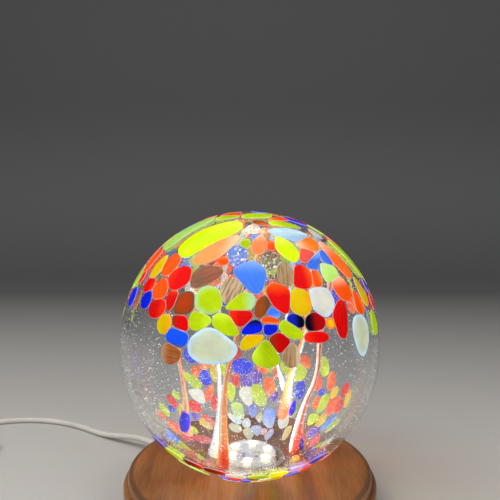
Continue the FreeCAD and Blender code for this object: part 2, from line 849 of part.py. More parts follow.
TONGUE_UNDER = f"({PLUG_AXIS} + 0.1)"
node(
    "plug_tongue",
    group(
        box(
            PLUG_X,
            f"{PLUG_FRONT} + (shell_length - 0.6) / 2",
            TONGUE_UNDER,
            f"shell_width - {2 * SHEET_METAL}",
            "shell_length - 0.6",
            f"shell_high / 2 - {SHEET_METAL} - 0.1",
        )
    ),
)
node(
    "plug_contacts",
    group(
        *[
            box(PLUG_X + x, f"{PLUG_FRONT} + 5", f"{TONGUE_UNDER} - 0.3", 1.0, 9, 0.3)
            for x in (-3.3, -1.1, 1.1, 3.3)
        ]
    ),
)

# The free cord: from the base to the switch, then to a neat coil and on to the plug

relief_end = number(RELIEF_END)
exit_turn = math.radians(number("exit_angle"))
CORD = number("cord_width")
ON_TABLE = CORD / 2
SWITCH_AXIS = number("switch_split")
SWITCH_REACH = number(relief_reach)
PLUG_HEIGHT = number(PLUG_AXIS)
exit_way = Vector(math.cos(exit_turn), math.sin(exit_turn), 0)
exit_point = exit_way * relief_end + Vector(0, 0, number("exit_high"))
run_points = [
    exit_point,
    exit_point + exit_way * (4 * CORD),
    Vector(-80.5, 64.8, 4.6),
    Vector(-94.5, 74.2, ON_TABLE),
    Vector(-111, 86.6, ON_TABLE),
    Vector(-127, 94.6, ON_TABLE),
    Vector(-146, 98.6, ON_TABLE),
    Vector(-167, 96.0, ON_TABLE),
    Vector(-183.5, 86.5, ON_TABLE),
    Vector(-193, 72, 2.8),
    Vector(SWITCH_X, 58, SWITCH_AXIS),
    Vector(SWITCH_X, SWITCH_Y + SWITCH_REACH, SWITCH_AXIS),
]
COIL_X = -166.0
COIL_Y = -50.0
COIL_OUT = 29.25
COIL_STEP = 4.0
COIL_HALF_TURNS = 8
coil_start = Vector(COIL_X - COIL_OUT, COIL_Y + CORD, ON_TABLE)
lead_points = [
    Vector(SWITCH_X, SWITCH_Y - SWITCH_REACH, SWITCH_AXIS),
    Vector(SWITCH_X, SWITCH_Y - SWITCH_REACH - 8, SWITCH_AXIS),
    Vector(SWITCH_X - 0.6, -34, 2.3),
    Vector(COIL_X - COIL_OUT, -40, ON_TABLE),
    coil_start,
]


def half_circle(start, radius, turn):
    """A level half turn from a point on the X axis of the coil: turn is 1 to the right, -1 to the left."""
    over = start + Vector(turn * radius, -turn * radius, 0)
    return Part.Arc(start, over, start + Vector(2 * turn * radius, 0, 0)).toShape()


def climbing_half_turn(start, end, heading):
    """Two arcs that meet smoothly, between two levels, with opposite headings at their ends."""
    apart = end - start
    joint = (start + end) / 2 + heading * (apart.Length / 2)

    def arc(p, direction, q):
        chord = q - p
        normal = direction.cross(chord).normalize()
        inward = normal.cross(direction)
        radius = chord.Length ** 2 / (2 * chord.dot(inward))
        middle = p + inward * radius
        out = ((p - middle) + (q - middle)).normalize() * radius
        return Part.Arc(p, middle + out, q).toShape()

    first = arc(start, heading, joint)
    return [first, arc(joint, first.tangentAt(first.LastParameter), end)]


def coil_edges():
    """A flat spiral in, a half turn up a layer, and a spiral out over it, made of half circles."""
    here = Vector(COIL_X - COIL_OUT, COIL_Y, ON_TABLE)
    edges = [Part.LineSegment(coil_start, here).toShape()]
    radius = COIL_OUT - COIL_STEP / 4
    side = 1
    for i in range(COIL_HALF_TURNS):
        edges.append(half_circle(here, radius, side))
        here = here + Vector(2 * side * radius, 0, 0)
        radius -= COIL_STEP / 2
        side = -side
    up = here + Vector(2 * side * radius, 0, COIL_STEP)
    edges += climbing_half_turn(here, up, Vector(0, -side, 0))
    here = up
    side = -side
    radius += COIL_STEP / 2
    for i in range(COIL_HALF_TURNS):
        edges.append(half_circle(here, radius, side))
        here = here + Vector(2 * side * radius, 0, 0)
        radius += COIL_STEP / 2
        side = -side
    edges.append(Part.LineSegment(here, here + Vector(0, -side * CORD, 0)).toShape())
    return edges


def least_self_gap(edges, width, spacing):
    """The least clear distance between turns that are more than half a turn apart along the path."""
    points = []
    along = 0.0
    for edge in edges:
        count = max(2, math.ceil(edge.Length / spacing))
        for k in range(count):
            share = k / count
            place = edge.valueAt(edge.getParameterByLength(edge.Length * share))
            points.append((place, along + edge.Length * share))
        along += edge.Length
    apart = 4 * width
    return min(
        p.distanceToPoint(q) - width
        for i, (p, at_p) in enumerate(points)
        for q, at_q in points[i + 1 :]
        if at_q - at_p > apart and abs(p.z - q.z) < 3 * width
    )


cord_length = 0.0
for label, points in (("cord_run", run_points), ("cord_lead", lead_points)):
    edges, radii = rounded_path(points)
    print(label, "radii", [round(r, 1) for r in radii])
    shape, length = tube(label, edges, CORD)
    cord_length += length
    solid(label, shape)
edges = coil_edges()
print(f"cord_coil: least gap to itself {least_self_gap(edges, CORD, 1.5):.2f}")
shape, length = tube("cord_coil", edges, CORD)
cord_length += length
solid("cord_coil", shape)
coil_end = edges[-1].valueAt(edges[-1].LastParameter)
tail_points = [
    coil_end,
    coil_end + Vector(0, 9.5, 0),
    Vector(-142.3, -26.5, 3.4),
    Vector(-149, -15, 1.9),
    Vector(-156.5, -5.5, 2.6),
    Vector(PLUG_X, 5, PLUG_HEIGHT),
    Vector(PLUG_X, PLUG_Y, PLUG_HEIGHT),
]
edges, radii = rounded_path(tail_points)
print("cord_tail radii", [round(r, 1) for r in radii])
shape, length = tube("cord_tail", edges, CORD)
cord_length += length
solid("cord_tail", shape)
print(f"free cord {cord_length:.0f} long in all")

# The pulled glass strands inside the ball: each runs from the dome to the bottom and flares where
# it joins the wall. A row is x, y, z and the radius there, in a ball of the drawn sizes below; the
# ends reach into the wall and are trimmed to its inner face.

STRANDS = {
    "strand_left": [
        (-8, -17, 143, 4.0),
        (-11, -16, 134, 2.0),
        (-22, -12, 110, 1.1),
        (-31, -8, 90, 1.1),
        (-35.3, -4, 74.5, 1.2),
        (-34.2, -2, 65, 1.25),
        (-33.3, 0, 56, 1.4),
        (-33, 2, 48.5, 1.8),
        (-34, 4.4, 38.6, 2.9),
        (-33.8, 7, 31, 3.2),
        (-33.6, 9, 22, 4.0),
    ],
    "strand_pale": [
        (0, -26, 143, 3.6),
        (-2.5, -24.5, 136, 2.2),
        (-9.9, -19.2, 126, 1.5),
        (-13, -14.5, 112, 1.2),
        (-16, -7, 90, 1.1),
        (-16.4, -4, 74.5, 1.1),
        (-15.9, -1, 65.7, 1.2),
        (-15.7, 1, 57, 1.2),
        (-15.8, 2.4, 48, 1.35),
        (-16.4, 2, 39.5, 1.6),
        (-17.4, 0, 31.7, 2.1),
        (-18.7, -3, 24.5, 3.0),
        (-19.6, -5, 16, 4.0),
    ],
    "strand_front": [
        (8.5, -25.5, 142, 3.8),
        (6, -24, 134, 2.4),
        (-1, -20.5, 110, 1.5),
        (-7.6, -18, 83.5, 1.35),
        (-9.8, -17, 74.9, 1.4),
        (-11.7, -16, 66.2, 1.5),
        (-12.7, -15, 57.4, 1.7),
        (-13, -14.5, 48.6, 2.0),
        (-13, -14.4, 40, 2.3),
        (-13, -14.2, 31.6, 2.8),
        (-13.3, -14, 25, 3.3),
        (-13.6, -14, 16, 3.8),
    ],
    "strand_back": [
        (29, -10, 138, 3.4),
        (29.5, -6, 124, 2.0),
        (29, 2, 100, 1.5),
        (27.3, 8, 80.1, 1.6),
        (23.8, 16, 65, 1.7),
        (21.7, 22, 53.6, 2.3),
        (20.8, 27.5, 42, 3.3),
        (20.4, 30, 35.7, 4.0),
        (19.8, 31.5, 30, 4.4),
        (19.4, 32.5, 22, 5.0),
    ],
    "strand_right": [
        (36.5, -17.5, 134, 3.6),
        (36.8, -14.5, 122, 2.0),
        (36.6, -9, 102, 1.4),
        (34.2, -5, 80, 1.4),
        (34.2, -2, 70.4, 1.45),
        (32.6, 0, 60.9, 1.5),
        (29.3, 2, 51.2, 1.7),
        (26.6, 3, 41.7, 2.2),
        (24.9, 2, 33, 3.0),
        (24.3, 0.2, 24.3, 4.2),
        (24.2, -1, 16, 5.0),
    ],
    "strand_thin": [
        (20.5, -20, 141, 3.0),
        (20.5, -16, 128, 1.5),
        (20, 0, 106, 1.0),
        (17.7, 20, 82, 0.9),
        (15.4, 33, 62, 1.0),
        (17.3, 39, 52.5, 1.4),
        (19.6, 43, 44.5, 2.2),
        (20.5, 46, 38, 2.8),
    ],
}

DRAWN_WIDTH = 127.0
DRAWN_TALL = 130.3
DRAWN_MIDDLE = 81.25
ball_wide = number("ball_width") / DRAWN_WIDTH
ball_high = number("ball_width + ball_band") / DRAWN_TALL
ball_middle = number(BALL_MIDDLE)
for label, rows in STRANDS.items():
    rings = []
    for x, y, z, radius in rows:
        place = Vector(x * ball_wide, y * ball_wide, ball_middle + (z - DRAWN_MIDDLE) * ball_high)
        rings.append(round_wire(place, OUT, radius))
    solid(label, Part.makeLoft(rings, True, False).common(hollow.Shape))

# The coloured chips melted on to the ball. Each is azimuth, latitude, length, width, turn and form:
# the turn is that of its length, from the east towards the north. The first table is the cap as it
# is seen from the front, the second the petals round the mouth as they are seen through the glass.

FORMS = {
    # how square, how much narrower at the far end, how much it bends
    "oval": (2.0, 0.0, 0.0),
    "egg": (2.1, 0.3, 0.0),
    "petal": (2.0, 0.65, 0.0),
    "strip": (2.7, 0.1, 0.0),
    "slab": (2.35, 0.1, 0.0),
    "bean": (2.2, 0.0, 0.45),
}
CAP_CHIPS = {
    "red": [
        (-67, 34, 7, 4, 90, "oval"), (-35.5, 37.2, 14, 10.5, 32, "slab"), (-54.2, 32, 9, 7.5, 75, "oval"),
        (-42.3, 24.2, 10.5, 8.8, 5, "slab"), (-35.2, 27.6, 9.5, 5.8, -96, "petal"),
        (-27.8, 20, 10.5, 6.5, -38, "slab"), (-4, 23.8, 11.5, 8.2, -4, "slab"),
        (35, 47.2, 12.5, 8.5, -8, "slab"), (39.5, 20.5, 17.3, 9.3, 76, "bean"),
        (26.3, 20.8, 10, 8.3, 4, "slab"), (26, 15.2, 12, 4.6, -8, "strip"),
        (12.7, 29.9, 16.2, 9.8, -72, "egg"), (11, 13.7, 11.8, 9, 0, "slab"),
        (25.8, 38.3, 14.5, 12.2, -6, "egg"), (73, 22, 8, 5, 85, "oval"),
    ],
    "orange": [
        (-46.3, 42.6, 12.5, 9.2, 86, "slab"), (-71, 42, 16, 8, 88, "strip"),
        (-44.2, 31.2, 10.5, 9, 86, "slab"), (-20.5, 52.3, 31, 9.8, 57, "egg"), (-50, 80, 13, 6, 15, "oval"),
        (-14.2, 46, 6, 5, 40, "oval"), (6.5, 54.5, 14, 7, 78, "petal"), (14, 53.5, 7, 5, 60, "oval"),
        (41, 53.8, 17, 9.5, -20, "slab"), (55.8, 44.3, 26, 9.5, -76, "strip"),
        (46.2, 32.3, 14, 10, 108, "slab"), (32.5, 37, 10, 6, 80, "oval"),
        (7.7, 22.3, 9.8, 4.2, -5, "strip"), (45, 73, 14, 4.5, -8, "strip"),
        (13, 69, 8.5, 4.2, -30, "petal"), (54.5, 25, 12, 6.5, 96, "petal"),
    ],
    "amber": [
        (-59.7, 25, 9, 4, 85, "strip"), (-28.3, 27.1, 12, 10.8, 60, "egg"),
        (-30.8, 8.6, 10, 8.5, 15, "slab"), (-8.3, 32.6, 13.5, 9.3, -102, "egg"),
        (-21.5, 39.3, 16.5, 9.3, 34, "slab"), (5.3, 27.1, 11.5, 6.5, 72, "egg"),
        (14.8, 10, 11, 7.4, 108, "slab"), (17.6, 40.4, 15, 7.5, 100, "petal"),
    ],
    "yellow": [
        (-32, 58.5, 38, 17, 57, "egg"), (-55.7, 40, 14, 6.5, 88, "slab"), (-36, 18.8, 8.3, 7.8, 78, "oval"),
        (1, 15.1, 11.2, 5.2, 27, "bean"), (22.8, 52, 22.5, 9, -65, "slab"), (62.5, 29, 16, 6, 96, "petal"),
        (33.5, 19.5, 5, 5, 0, "oval"), (21.8, 28.1, 12.8, 11, -76, "slab"),
    ],
    "lime": [
        (-72, 61, 36, 15, 92, "strip"), (-78, 33, 13, 9, 90, "oval"), (-17.3, 29.3, 12.8, 11.4, -8, "slab"),
        (-4, 28.7, 12.8, 9.2, 20, "slab"), (-20, 21.4, 12, 7.2, -2, "egg"),
        (-9.2, 20.6, 14, 7.6, -16, "slab"), (43.8, 39.3, 14, 9.4, 66, "slab"),
        (78, 43, 27, 11, -86, "strip"), (66.5, 14.3, 11.5, 8, 90, "slab"),
        (15.5, 18.5, 12, 6.5, -28, "egg"), (6.6, 10.7, 13.5, 11, 10, "oval"), (20, 79, 18, 8, 0, "slab"),
        (39.5, 67.5, 17, 5.5, -26, "strip"), (-42, 75.5, 13, 5.5, 25, "slab"), (-3, 54.5, 7, 5, 70, "oval"),
    ],
    "sky": [
        (0.8, 38.9, 19, 12, -74, "petal"), (-28.7, 14.9, 11.5, 9, 0, "slab"),
        (36.8, 45.2, 15, 6, 30, "petal"), (47.3, 45, 12, 7.2, 66, "egg"), (8.8, 25, 6.5, 5, -20, "oval"),
    ],
    "cobalt": [
        (-51.5, 26.6, 9, 7.5, 84, "slab"), (-67.8, 25.1, 9.5, 8, 86, "slab"),
        (1, 19.4, 12, 5.2, 20, "bean"), (7.5, 19.4, 7.5, 5.2, 0, "oval"), (18, 21.7, 8, 5.5, -29, "slab"),
        (72, 70, 14, 6, -60, "strip"),
    ],
    "white": [
        (-14.3, 13, 21.5, 14, -2, "slab"), (37, 59.4, 27, 9, -27, "strip"),
        (51, 12.1, 18.5, 12, -93, "egg"), (31.8, 27.7, 15.5, 12.5, -76, "slab"),
        (-7.5, 48.5, 15, 8.5, 80, "slab"), (3, 65, 9, 6, 78, "petal"), (11, 45.5, 12, 7, 80, "slab"),
    ],
    "purple": [(75, 29, 8, 6, 80, "oval")],
}
MOUTH_CHIPS = {
    "red": [
        (189, -20, 10, 6.4, -118, "oval"), (189, -36, 9.6, 5, -106, "egg"),
        (207, -45, 15.5, 4.6, -66, "egg"), (225, -46, 9, 6.4, -105, "egg"),
        (220, -56, 11, 4, -108, "strip"), (242, -39, 9.3, 4.8, -105, "slab"),
        (258, -57, 10, 6.6, -123, "strip"), (245, -64, 10, 5.5, -141, "strip"),
        (107, -30, 9.8, 6.4, -113, "slab"), (104, -38, 8.4, 6, -110, "slab"),
        (162, -66, 7, 3, -118, "strip"), (294, -60, 13, 6.4, 20, "slab"), (303, -66, 11, 4.7, 10, "strip"),
        (327, -44.5, 11, 5.3, -18, "slab"), (339, -47, 11.5, 5.3, -12, "slab"),
    ],
    "orange": [
        (208, -25, 8, 6, -52, "slab"), (215, -29, 9.2, 5.4, -93, "egg"), (210, -41.5, 17, 4, -59, "bean"),
        (264, -41, 8.3, 4.2, -138, "strip"), (260, -50, 12, 7.7, -115, "slab"),
        (172, -29, 8.5, 5.5, -125, "egg"), (163, -30, 12, 3.6, -101, "strip"),
        (166, -40, 16.8, 5.6, -103, "egg"), (145, -23, 9, 5.6, -129, "egg"),
        (123, -29, 12, 5.8, -112, "slab"), (111, -39, 13.8, 8, -106, "slab"),
        (133, -32, 9.7, 6, -120, "slab"), (127, -42, 8, 5.2, -100, "slab"), (90, -57, 13, 4.7, 20, "strip"),
    ],
    "yellow": [
        (203, -30, 12.5, 4.5, -85, "strip"), (225, -57, 9.4, 4.6, -107, "egg"),
        (240, -45.5, 12, 3, -50, "strip"), (197, -63, 8.6, 5.2, -125, "oval"),
        (171, -57, 10.3, 3.6, -113, "petal"), (116, -34, 9, 5.6, -103, "slab"),
        (100, -32, 10.5, 5, -121, "strip"), (111, -49, 9.6, 6, -99, "slab"),
        (135, -63, 13, 3.4, -109, "strip"), (181, -68, 9.5, 5.4, -92, "petal"),
        (62, -66, 15, 4.7, -25, "strip"), (12, -58, 13, 5.3, -6, "strip"),
    ],
    "lime": [
        (218, -33, 18.2, 6.2, -118, "egg"), (197, -29, 8.6, 4, -83, "oval"),
        (236, -37, 6, 3.8, -116, "oval"), (255, -40, 9.5, 6, -116, "slab"),
        (244, -57, 6, 5.2, -111, "oval"), (194, -42, 14.5, 4.8, -84, "petal"),
        (190, -54.5, 17.5, 5.6, -100, "petal"), (167, -28, 7, 4, -96, "oval"),
        (157, -27, 9.2, 6.6, -110, "slab"), (173.5, -44, 15.5, 8, -112, "egg"),
        (148, -29, 11.6, 8.8, -85, "slab"), (132, -23, 12.8, 6.2, -126, "slab"),
        (121, -41, 12.7, 6.6, -92, "slab"), (120, -51, 8.5, 6.6, -98, "petal"),
        (93, -46, 11.6, 4.4, -82, "strip"), (143, -50, 9.8, 4.6, -106, "oval"),
        (292, -51, 11, 6.4, 30, "slab"), (5, -51.5, 12, 5.9, 0, "slab"), (17, -49.5, 11, 5.3, 8, "slab"),
        (315.5, -41, 10.4, 5.3, -25, "slab"),
    ],
    "sky": [
        (162, -57.5, 16, 7, -112, "petal"), (100, -47, 14, 5.2, -79, "strip"),
        (172, -66, 9, 5.4, -92, "petal"), (286, -47, 7.7, 5.3, 30, "oval"),
    ],
    "cobalt": [
        (216, -19, 10, 7.5, -119, "slab"), (210, -32, 13.5, 6.6, -104, "egg"),
        (247, -42, 4.4, 4, -110, "oval"), (177, -54, 12, 4, -107, "egg"), (144, -38, 12, 5.6, -103, "slab"),
        (127, -36, 4.6, 4.2, -70, "oval"), (185, -28, 14, 8.6, 20, "slab"),
    ],
    "white": [
        (219, -40, 14.8, 7.4, -108, "slab"), (182, -45, 14, 7, -100, "petal"),
        (194, -57.5, 12, 4.5, -122, "strip"), (146, -58, 10.4, 5.6, -112, "egg"),
        (184, -60, 9, 4.5, -100, "oval"), (351.5, -51, 11, 5.9, -4, "slab"),
    ],
    "purple": [
        (183, -36, 9, 5.5, -141, "slab"), (176, -33.5, 9.5, 7, -95, "slab"), (230, -51, 5, 4, -123, "oval"),
        (162, -43.5, 8.6, 3.8, -88, "egg"), (106, -56, 9.7, 7.2, -110, "egg"),
        (72, -57, 17, 4.7, 10, "strip"), (298, -53, 8.8, 4.7, 20, "oval"),
        (29, -46.5, 9.9, 4.9, 18, "slab"), (39.5, -42, 9.9, 4.7, 26, "slab"),
        (307, -36.5, 9.3, 4.7, -32, "oval"), (156, -67, 9.5, 4.4, -100, "petal"),
    ],
}
# What fills in between the two halves of the cap, at its sides and on its top
SIDE_CHIPS = {
    "red": [(91, 22, 12, 10, 82, "slab"), (-90, 43, 12, 11, 80, "slab"), (90, 69, 10, 7, 60, "egg")],
    "orange": [(90, 51, 13, 9, 88, "egg"), (-91, 23, 12, 9, 78, "slab"), (-100, 72, 11, 6, 40, "slab")],
    "yellow": [(89, 32, 12, 9, 95, "slab"), (-90, 53, 11, 10, 84, "egg")],
    "lime": [(-89, 14, 9, 7, 80, "oval"), (91, 60, 10, 9, 70, "slab")],
    "sky": [(90, 13, 9, 8, 75, "oval"), (-90, 33, 12, 10, 92, "slab")],
    "cobalt": [(91, 41.5, 11, 10, 85, "slab"), (-90, 63, 10, 8, 70, "slab"), (100, 86, 9, 7, 20, "oval")],
    "amber": [(80, 78, 10, 7, 30, "egg"), (-110, 82, 10, 6, 60, "oval")],
}
# The far half of the cap is the near half turned over left to right, with its colours moved on.
NEXT_COLOUR = {
    "red": "lime",
    "orange": "sky",
    "amber": "red",
    "yellow": "white",
    "lime": "orange",
    "sky": "yellow",
    "cobalt": "amber",
    "white": "cobalt",
    "purple": "lime",
}
MOUTH_FRONT_LIMIT = -47
# Chips spread as they melt in and crowd each other, so each is taken this much longer and wider than
# its table says, and is then trimmed against its neighbours.
CAP_SPREAD = (1.06, 1.08)
MOUTH_SPREAD = (1.05, 1.15)
CHIP_GAP = 0.25
CHIP_POINTS = 14
SHORTEST_SIDE = 0.4
CHIP_RADIUS = number("(2 * ball_width + ball_band) / 4")


def mirrored(chip):
    azimuth, latitude, length, width, turn, form = chip
    return 180 - azimuth, latitude, length, width, 180 - turn, form


def spread(chip, longer, wider):
    azimuth, latitude, length, width, turn, form = chip
    return azimuth, latitude, length * longer, width * wider, turn, form


def all_chips():
    listed = []
    for table, amount in ((CAP_CHIPS, CAP_SPREAD), (MOUTH_CHIPS, MOUTH_SPREAD), (SIDE_CHIPS, CAP_SPREAD)):
        for colour, chips in table.items():
            listed += [(colour, spread(chip, *amount)) for chip in chips]
    for colour, chips in CAP_CHIPS.items():
        listed += [(NEXT_COLOUR[colour], spread(mirrored(chip), *CAP_SPREAD)) for chip in chips]
    for colour, chips in MOUTH_CHIPS.items():
        over = [mirrored(chip) for chip in chips if chip[1] < MOUTH_FRONT_LIMIT and 90 < chip[0] < 270]
        listed += [(NEXT_COLOUR[colour], spread(chip, *MOUTH_SPREAD)) for chip in over]
    return listed


class Chip:
    """A chip's outline on the plane that touches the ball at its middle, as seen from the ball's
    middle, so that a straight side there is the shortest line on the ball."""

    def __init__(self, colour, chip):
        azimuth, latitude, length, width, turn, form = chip
        a, b = math.radians(azimuth), math.radians(latitude)
        self.colour = colour
        self.middle = Vector(math.cos(b) * math.sin(a), -math.cos(b) * math.cos(a), math.sin(b))
        self.east = Vector(math.cos(a), math.sin(a), 0)
        self.north = self.middle.cross(self.east)
        square, taper, bend = FORMS[form]
        cos_t, sin_t = math.cos(math.radians(turn)), math.sin(math.radians(turn))
        self.outline = []
        for k in range(CHIP_POINTS):
            c, s = math.cos(2 * math.pi * k / CHIP_POINTS), math.sin(2 * math.pi * k / CHIP_POINTS)
            x = math.copysign(abs(c) ** (2 / square), c)
            y = math.copysign(abs(s) ** (2 / square), s) * (1 - taper * x) + bend * (0.5 - x * x)
            x, y = x * length / 2 / CHIP_RADIUS, y * width / 2 / CHIP_RADIUS
            self.outline.append((x * cos_t - y * sin_t, x * sin_t + y * cos_t))
        self.reach = max(math.hypot(u, v) for u, v in self.outline)

    def towards(self, other):
        """The direction to another chip on this one's plane, and the angle between them."""
        way = other.middle - self.middle * self.middle.dot(other.middle)
        length = way.Length
        return (way.dot(self.east) / length, way.dot(self.north) / length), self.middle.getAngle(other.middle)

    def extent(self, way):
        return math.atan(max(u * way[0] + v * way[1] for u, v in self.outline))

    def trim(self, way, limit):
        """Cuts the outline along a great circle square to that way, at that angle from the middle."""
        kept = []
        bound = math.tan(limit)
        for (u0, v0), (u1, v1) in zip(self.outline, self.outline[1:] + self.outline[:1]):
            d0, d1 = u0 * way[0] + v0 * way[1] - bound, u1 * way[0] + v1 * way[1] - bound
            if d0 <= 0:
                kept.append((u0, v0))
            if (d0 < 0) != (d1 < 0) and d0 != d1:
                share = d0 / (d0 - d1)
                kept.append((u0 + (u1 - u0) * share, v0 + (v1 - v0) * share))
        self.outline = kept

    def solid(self, skin):
        near, far = [], []
        corners = []
        for u, v in self.outline:
            if not corners or math.dist((u, v), corners[-1]) * CHIP_RADIUS > SHORTEST_SIDE:
                corners.append((u, v))
        if math.dist(corners[0], corners[-1]) * CHIP_RADIUS < SHORTEST_SIDE:
            corners.pop()
        for u, v in corners:
            way = self.middle + self.east * u + self.north * v
            near.append(BALL_CENTRE + way * (0.85 * CHIP_RADIUS))
            far.append(BALL_CENTRE + way * (1.1 * CHIP_RADIUS))
        rings = [Part.makePolygon(ring + ring[:1]) for ring in (near, far)]
        return Part.makeLoft(rings, True, True).common(skin)


BALL_CENTRE = Vector(0, 0, ball_middle)
chips = [Chip(colour, chip) for colour, chip in all_chips()]
cuts = []
for i, one in enumerate(chips):
    for other in chips[i + 1 :]:
        if one.middle.getAngle(other.middle) > one.reach + other.reach + CHIP_GAP / CHIP_RADIUS:
            continue
        way, angle = one.towards(other)
        way_back, _ = other.towards(one)
        mine, theirs = one.extent(way), other.extent(way_back)
        gap = CHIP_GAP / CHIP_RADIUS
        if mine + theirs + gap > angle:
            place = angle * mine / (mine + theirs)
            cuts.append((one, way, place - gap / 2))
            cuts.append((other, way_back, angle - place - gap / 2))
for chip, way, limit in cuts:
    chip.trim(way, limit)
blown_over = oval("ball_width + 2 * chip_proud", BALL_MIDDLE)
doc.recompute()
skin = blown_over.Shape.cut(blown.Shape)
for colour in NEXT_COLOUR:
    solid(f"chips_{colour}", Part.Compound([c.solid(skin) for c in chips if c.colour == colour]))
print(len(chips), "chips")

# Checks and files

doc.recompute()
for thing in doc.Objects:
    if {"Invalid", "Error"} & set(thing.State):
        raise RuntimeError(f"{thing.Label} ({thing.Name}) failed: {thing.State}")
for label, thing in nodes.items():
    shape = thing.Shape
    if shape.isNull() or not shape.isValid() or not shape.Solids:
        raise RuntimeError(f"{label} has no valid solid")
os.makedirs("parts", exist_ok=True)
for label, thing in nodes.items():
    thing.Shape.exportStep(os.path.join("parts", f"{label}.step"))
print(len(nodes), "nodes")
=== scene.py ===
# %% [markdown]
# # A lit glass ball on a wooden base
#
# The lamp is a hand-blown ball of clear, seeded glass. Coloured chips are melted on to it in a
# dense cap and in a ring of petals round its mouth, and glass strands are pulled through its
# hollow. It stands over six small lights in a round wooden base, and a thin cord feeds it. The
# solids are already exact, so this script gives each of them its real surface: soft pillowed
# chips, smooth strands, bubbles in the wall, grain in the wood.

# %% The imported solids
import json
import math
import random

import bmesh
import bpy
import numpy as np
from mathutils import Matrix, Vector


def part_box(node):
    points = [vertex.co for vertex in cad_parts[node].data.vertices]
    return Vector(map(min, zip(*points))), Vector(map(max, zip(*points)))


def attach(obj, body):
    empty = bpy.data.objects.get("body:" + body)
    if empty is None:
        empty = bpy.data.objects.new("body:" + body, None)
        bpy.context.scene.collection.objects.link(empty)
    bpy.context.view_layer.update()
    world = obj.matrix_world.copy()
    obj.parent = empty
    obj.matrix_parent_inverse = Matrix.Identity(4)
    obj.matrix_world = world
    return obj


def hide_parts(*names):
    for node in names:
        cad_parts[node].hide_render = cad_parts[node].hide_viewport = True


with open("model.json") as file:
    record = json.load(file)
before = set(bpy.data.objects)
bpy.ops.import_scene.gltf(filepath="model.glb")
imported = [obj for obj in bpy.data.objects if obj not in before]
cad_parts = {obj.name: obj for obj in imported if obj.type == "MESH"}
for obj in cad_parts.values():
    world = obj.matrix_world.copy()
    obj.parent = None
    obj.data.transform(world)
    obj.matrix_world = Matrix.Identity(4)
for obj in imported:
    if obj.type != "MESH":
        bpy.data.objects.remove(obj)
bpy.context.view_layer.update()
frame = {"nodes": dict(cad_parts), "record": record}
MM = 0.001

# %% [markdown]
# ## The camera
#
# A phone camera held close has a strong perspective, so its distance matters as much as its
# lens. The ball's outline and the far edge of the base give both: 29 cm away, a little above
# the ball's top, tipped 6 degrees down.

# %% Camera
PHOTO_PIXELS = 500
FOCAL_PIXELS = 600
CAMERA_PLACE = (0, -293.8 * MM, 158.5 * MM)
CAMERA_TIPPED = 6.0

camera_data = bpy.data.cameras.new("camera")
camera_data.sensor_width = 36.0
camera_data.lens = camera_data.sensor_width * FOCAL_PIXELS / PHOTO_PIXELS
camera_data.clip_start = 5 * MM
camera = bpy.data.objects.new("camera", camera_data)
camera.location = CAMERA_PLACE
camera.rotation_euler = (math.radians(90 - CAMERA_TIPPED), 0, 0)
scene = bpy.context.scene
scene.collection.objects.link(camera)
scene.camera = camera
scene.view_settings.view_transform = "Standard"
print("lens", round(camera_data.lens, 1), "mm")

# %% [markdown]
# ## Small helpers for meshes
#
# Every finished piece is a plain mesh whose object sits at the origin, so that its pattern
# stays put when the model is exported. These helpers make one from points and faces, turn the
# result of a node tree into one, and give it smooth shading with crisp corners.

# %% Mesh helpers
CRISP, ROUNDED, ALL_SMOOTH = math.radians(38), math.radians(70), math.radians(180)
SAME_POINT = 0.001 * MM


def shown(name, data):
    """A new object of the scene, with that data."""
    made = bpy.data.objects.new(name, data)
    scene.collection.objects.link(made)
    return made


def shade(piece, crisp=CRISP):
    """Smooth shading that keeps edges sharper than that angle."""
    mesh = piece.data
    mesh.polygons.foreach_set("use_smooth", [True] * len(mesh.polygons))
    mesh.set_sharp_from_angle(angle=crisp)


def piece_from(name, points, faces):
    mesh = bpy.data.meshes.new(name)
    mesh.from_pydata([tuple(p) for p in points], [], faces)
    mesh.update()
    return shown(name, mesh)


def face_out(mesh):
    """Merges doubles and points every face out of its closed shell."""
    work = bmesh.new()
    work.from_mesh(mesh)
    bmesh.ops.remove_doubles(work, verts=work.verts, dist=SAME_POINT)
    bmesh.ops.recalc_face_normals(work, faces=work.faces)
    work.to_mesh(mesh)
    work.free()
    mesh.update()


def grown(carrier, name):
    """The plain mesh that an object and its modifiers make, in place of the object."""
    depsgraph = bpy.context.evaluated_depsgraph_get()
    piece = shown(name, bpy.data.meshes.new_from_object(carrier.evaluated_get(depsgraph)))
    bpy.data.objects.remove(carrier)
    return piece


def carried(piece, body, slot, *nodes):
    """Rides on a body and stands for the solids it replaces; its slot is not used."""
    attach(piece, body)
    if nodes:
        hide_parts(*nodes)


def put(piece, finish):
    """Puts a finish on every slot of a piece."""
    if not piece.material_slots:
        piece.data.materials.append(finish)
    for slot in piece.material_slots:
        slot.material = finish

# %% [markdown]
# ## Node trees in a few words
#
# Each finish below is a few nodes: a pattern on Object coordinates, a colour ramp and a
# Principled shader, and the trees that scatter and turn things are written the same way. `add`
# puts in a node with its settings and inputs in one line, `fill` sets the inputs of one that is
# there, and the rest are short names for the nodes used most.

# %% Node helpers


def fill(tree, node, inputs):
    """Sets a node's inputs to values or to other nodes' outputs."""
    for key, value in inputs.items():
        socket = node.inputs[key]
        if isinstance(value, bpy.types.NodeSocket):
            tree.links.new(value, socket)
        elif socket.type == "RGBA" and len(value) == 3:
            socket.default_value = (*value, 1)
        else:
            socket.default_value = value


def add(tree, kind, inputs=(), **settings):
    """A node with its settings, whose inputs are values or other nodes' outputs."""
    made = tree.nodes.new(kind)
    for key, value in settings.items():
        setattr(made, key, value)
    fill(tree, made, dict(inputs))
    return made


def number(tree, operation, *values, **settings):
    """What a Math node gives."""
    made = add(tree, "ShaderNodeMath", dict(enumerate(values)), operation=operation, **settings)
    return made.outputs[0]


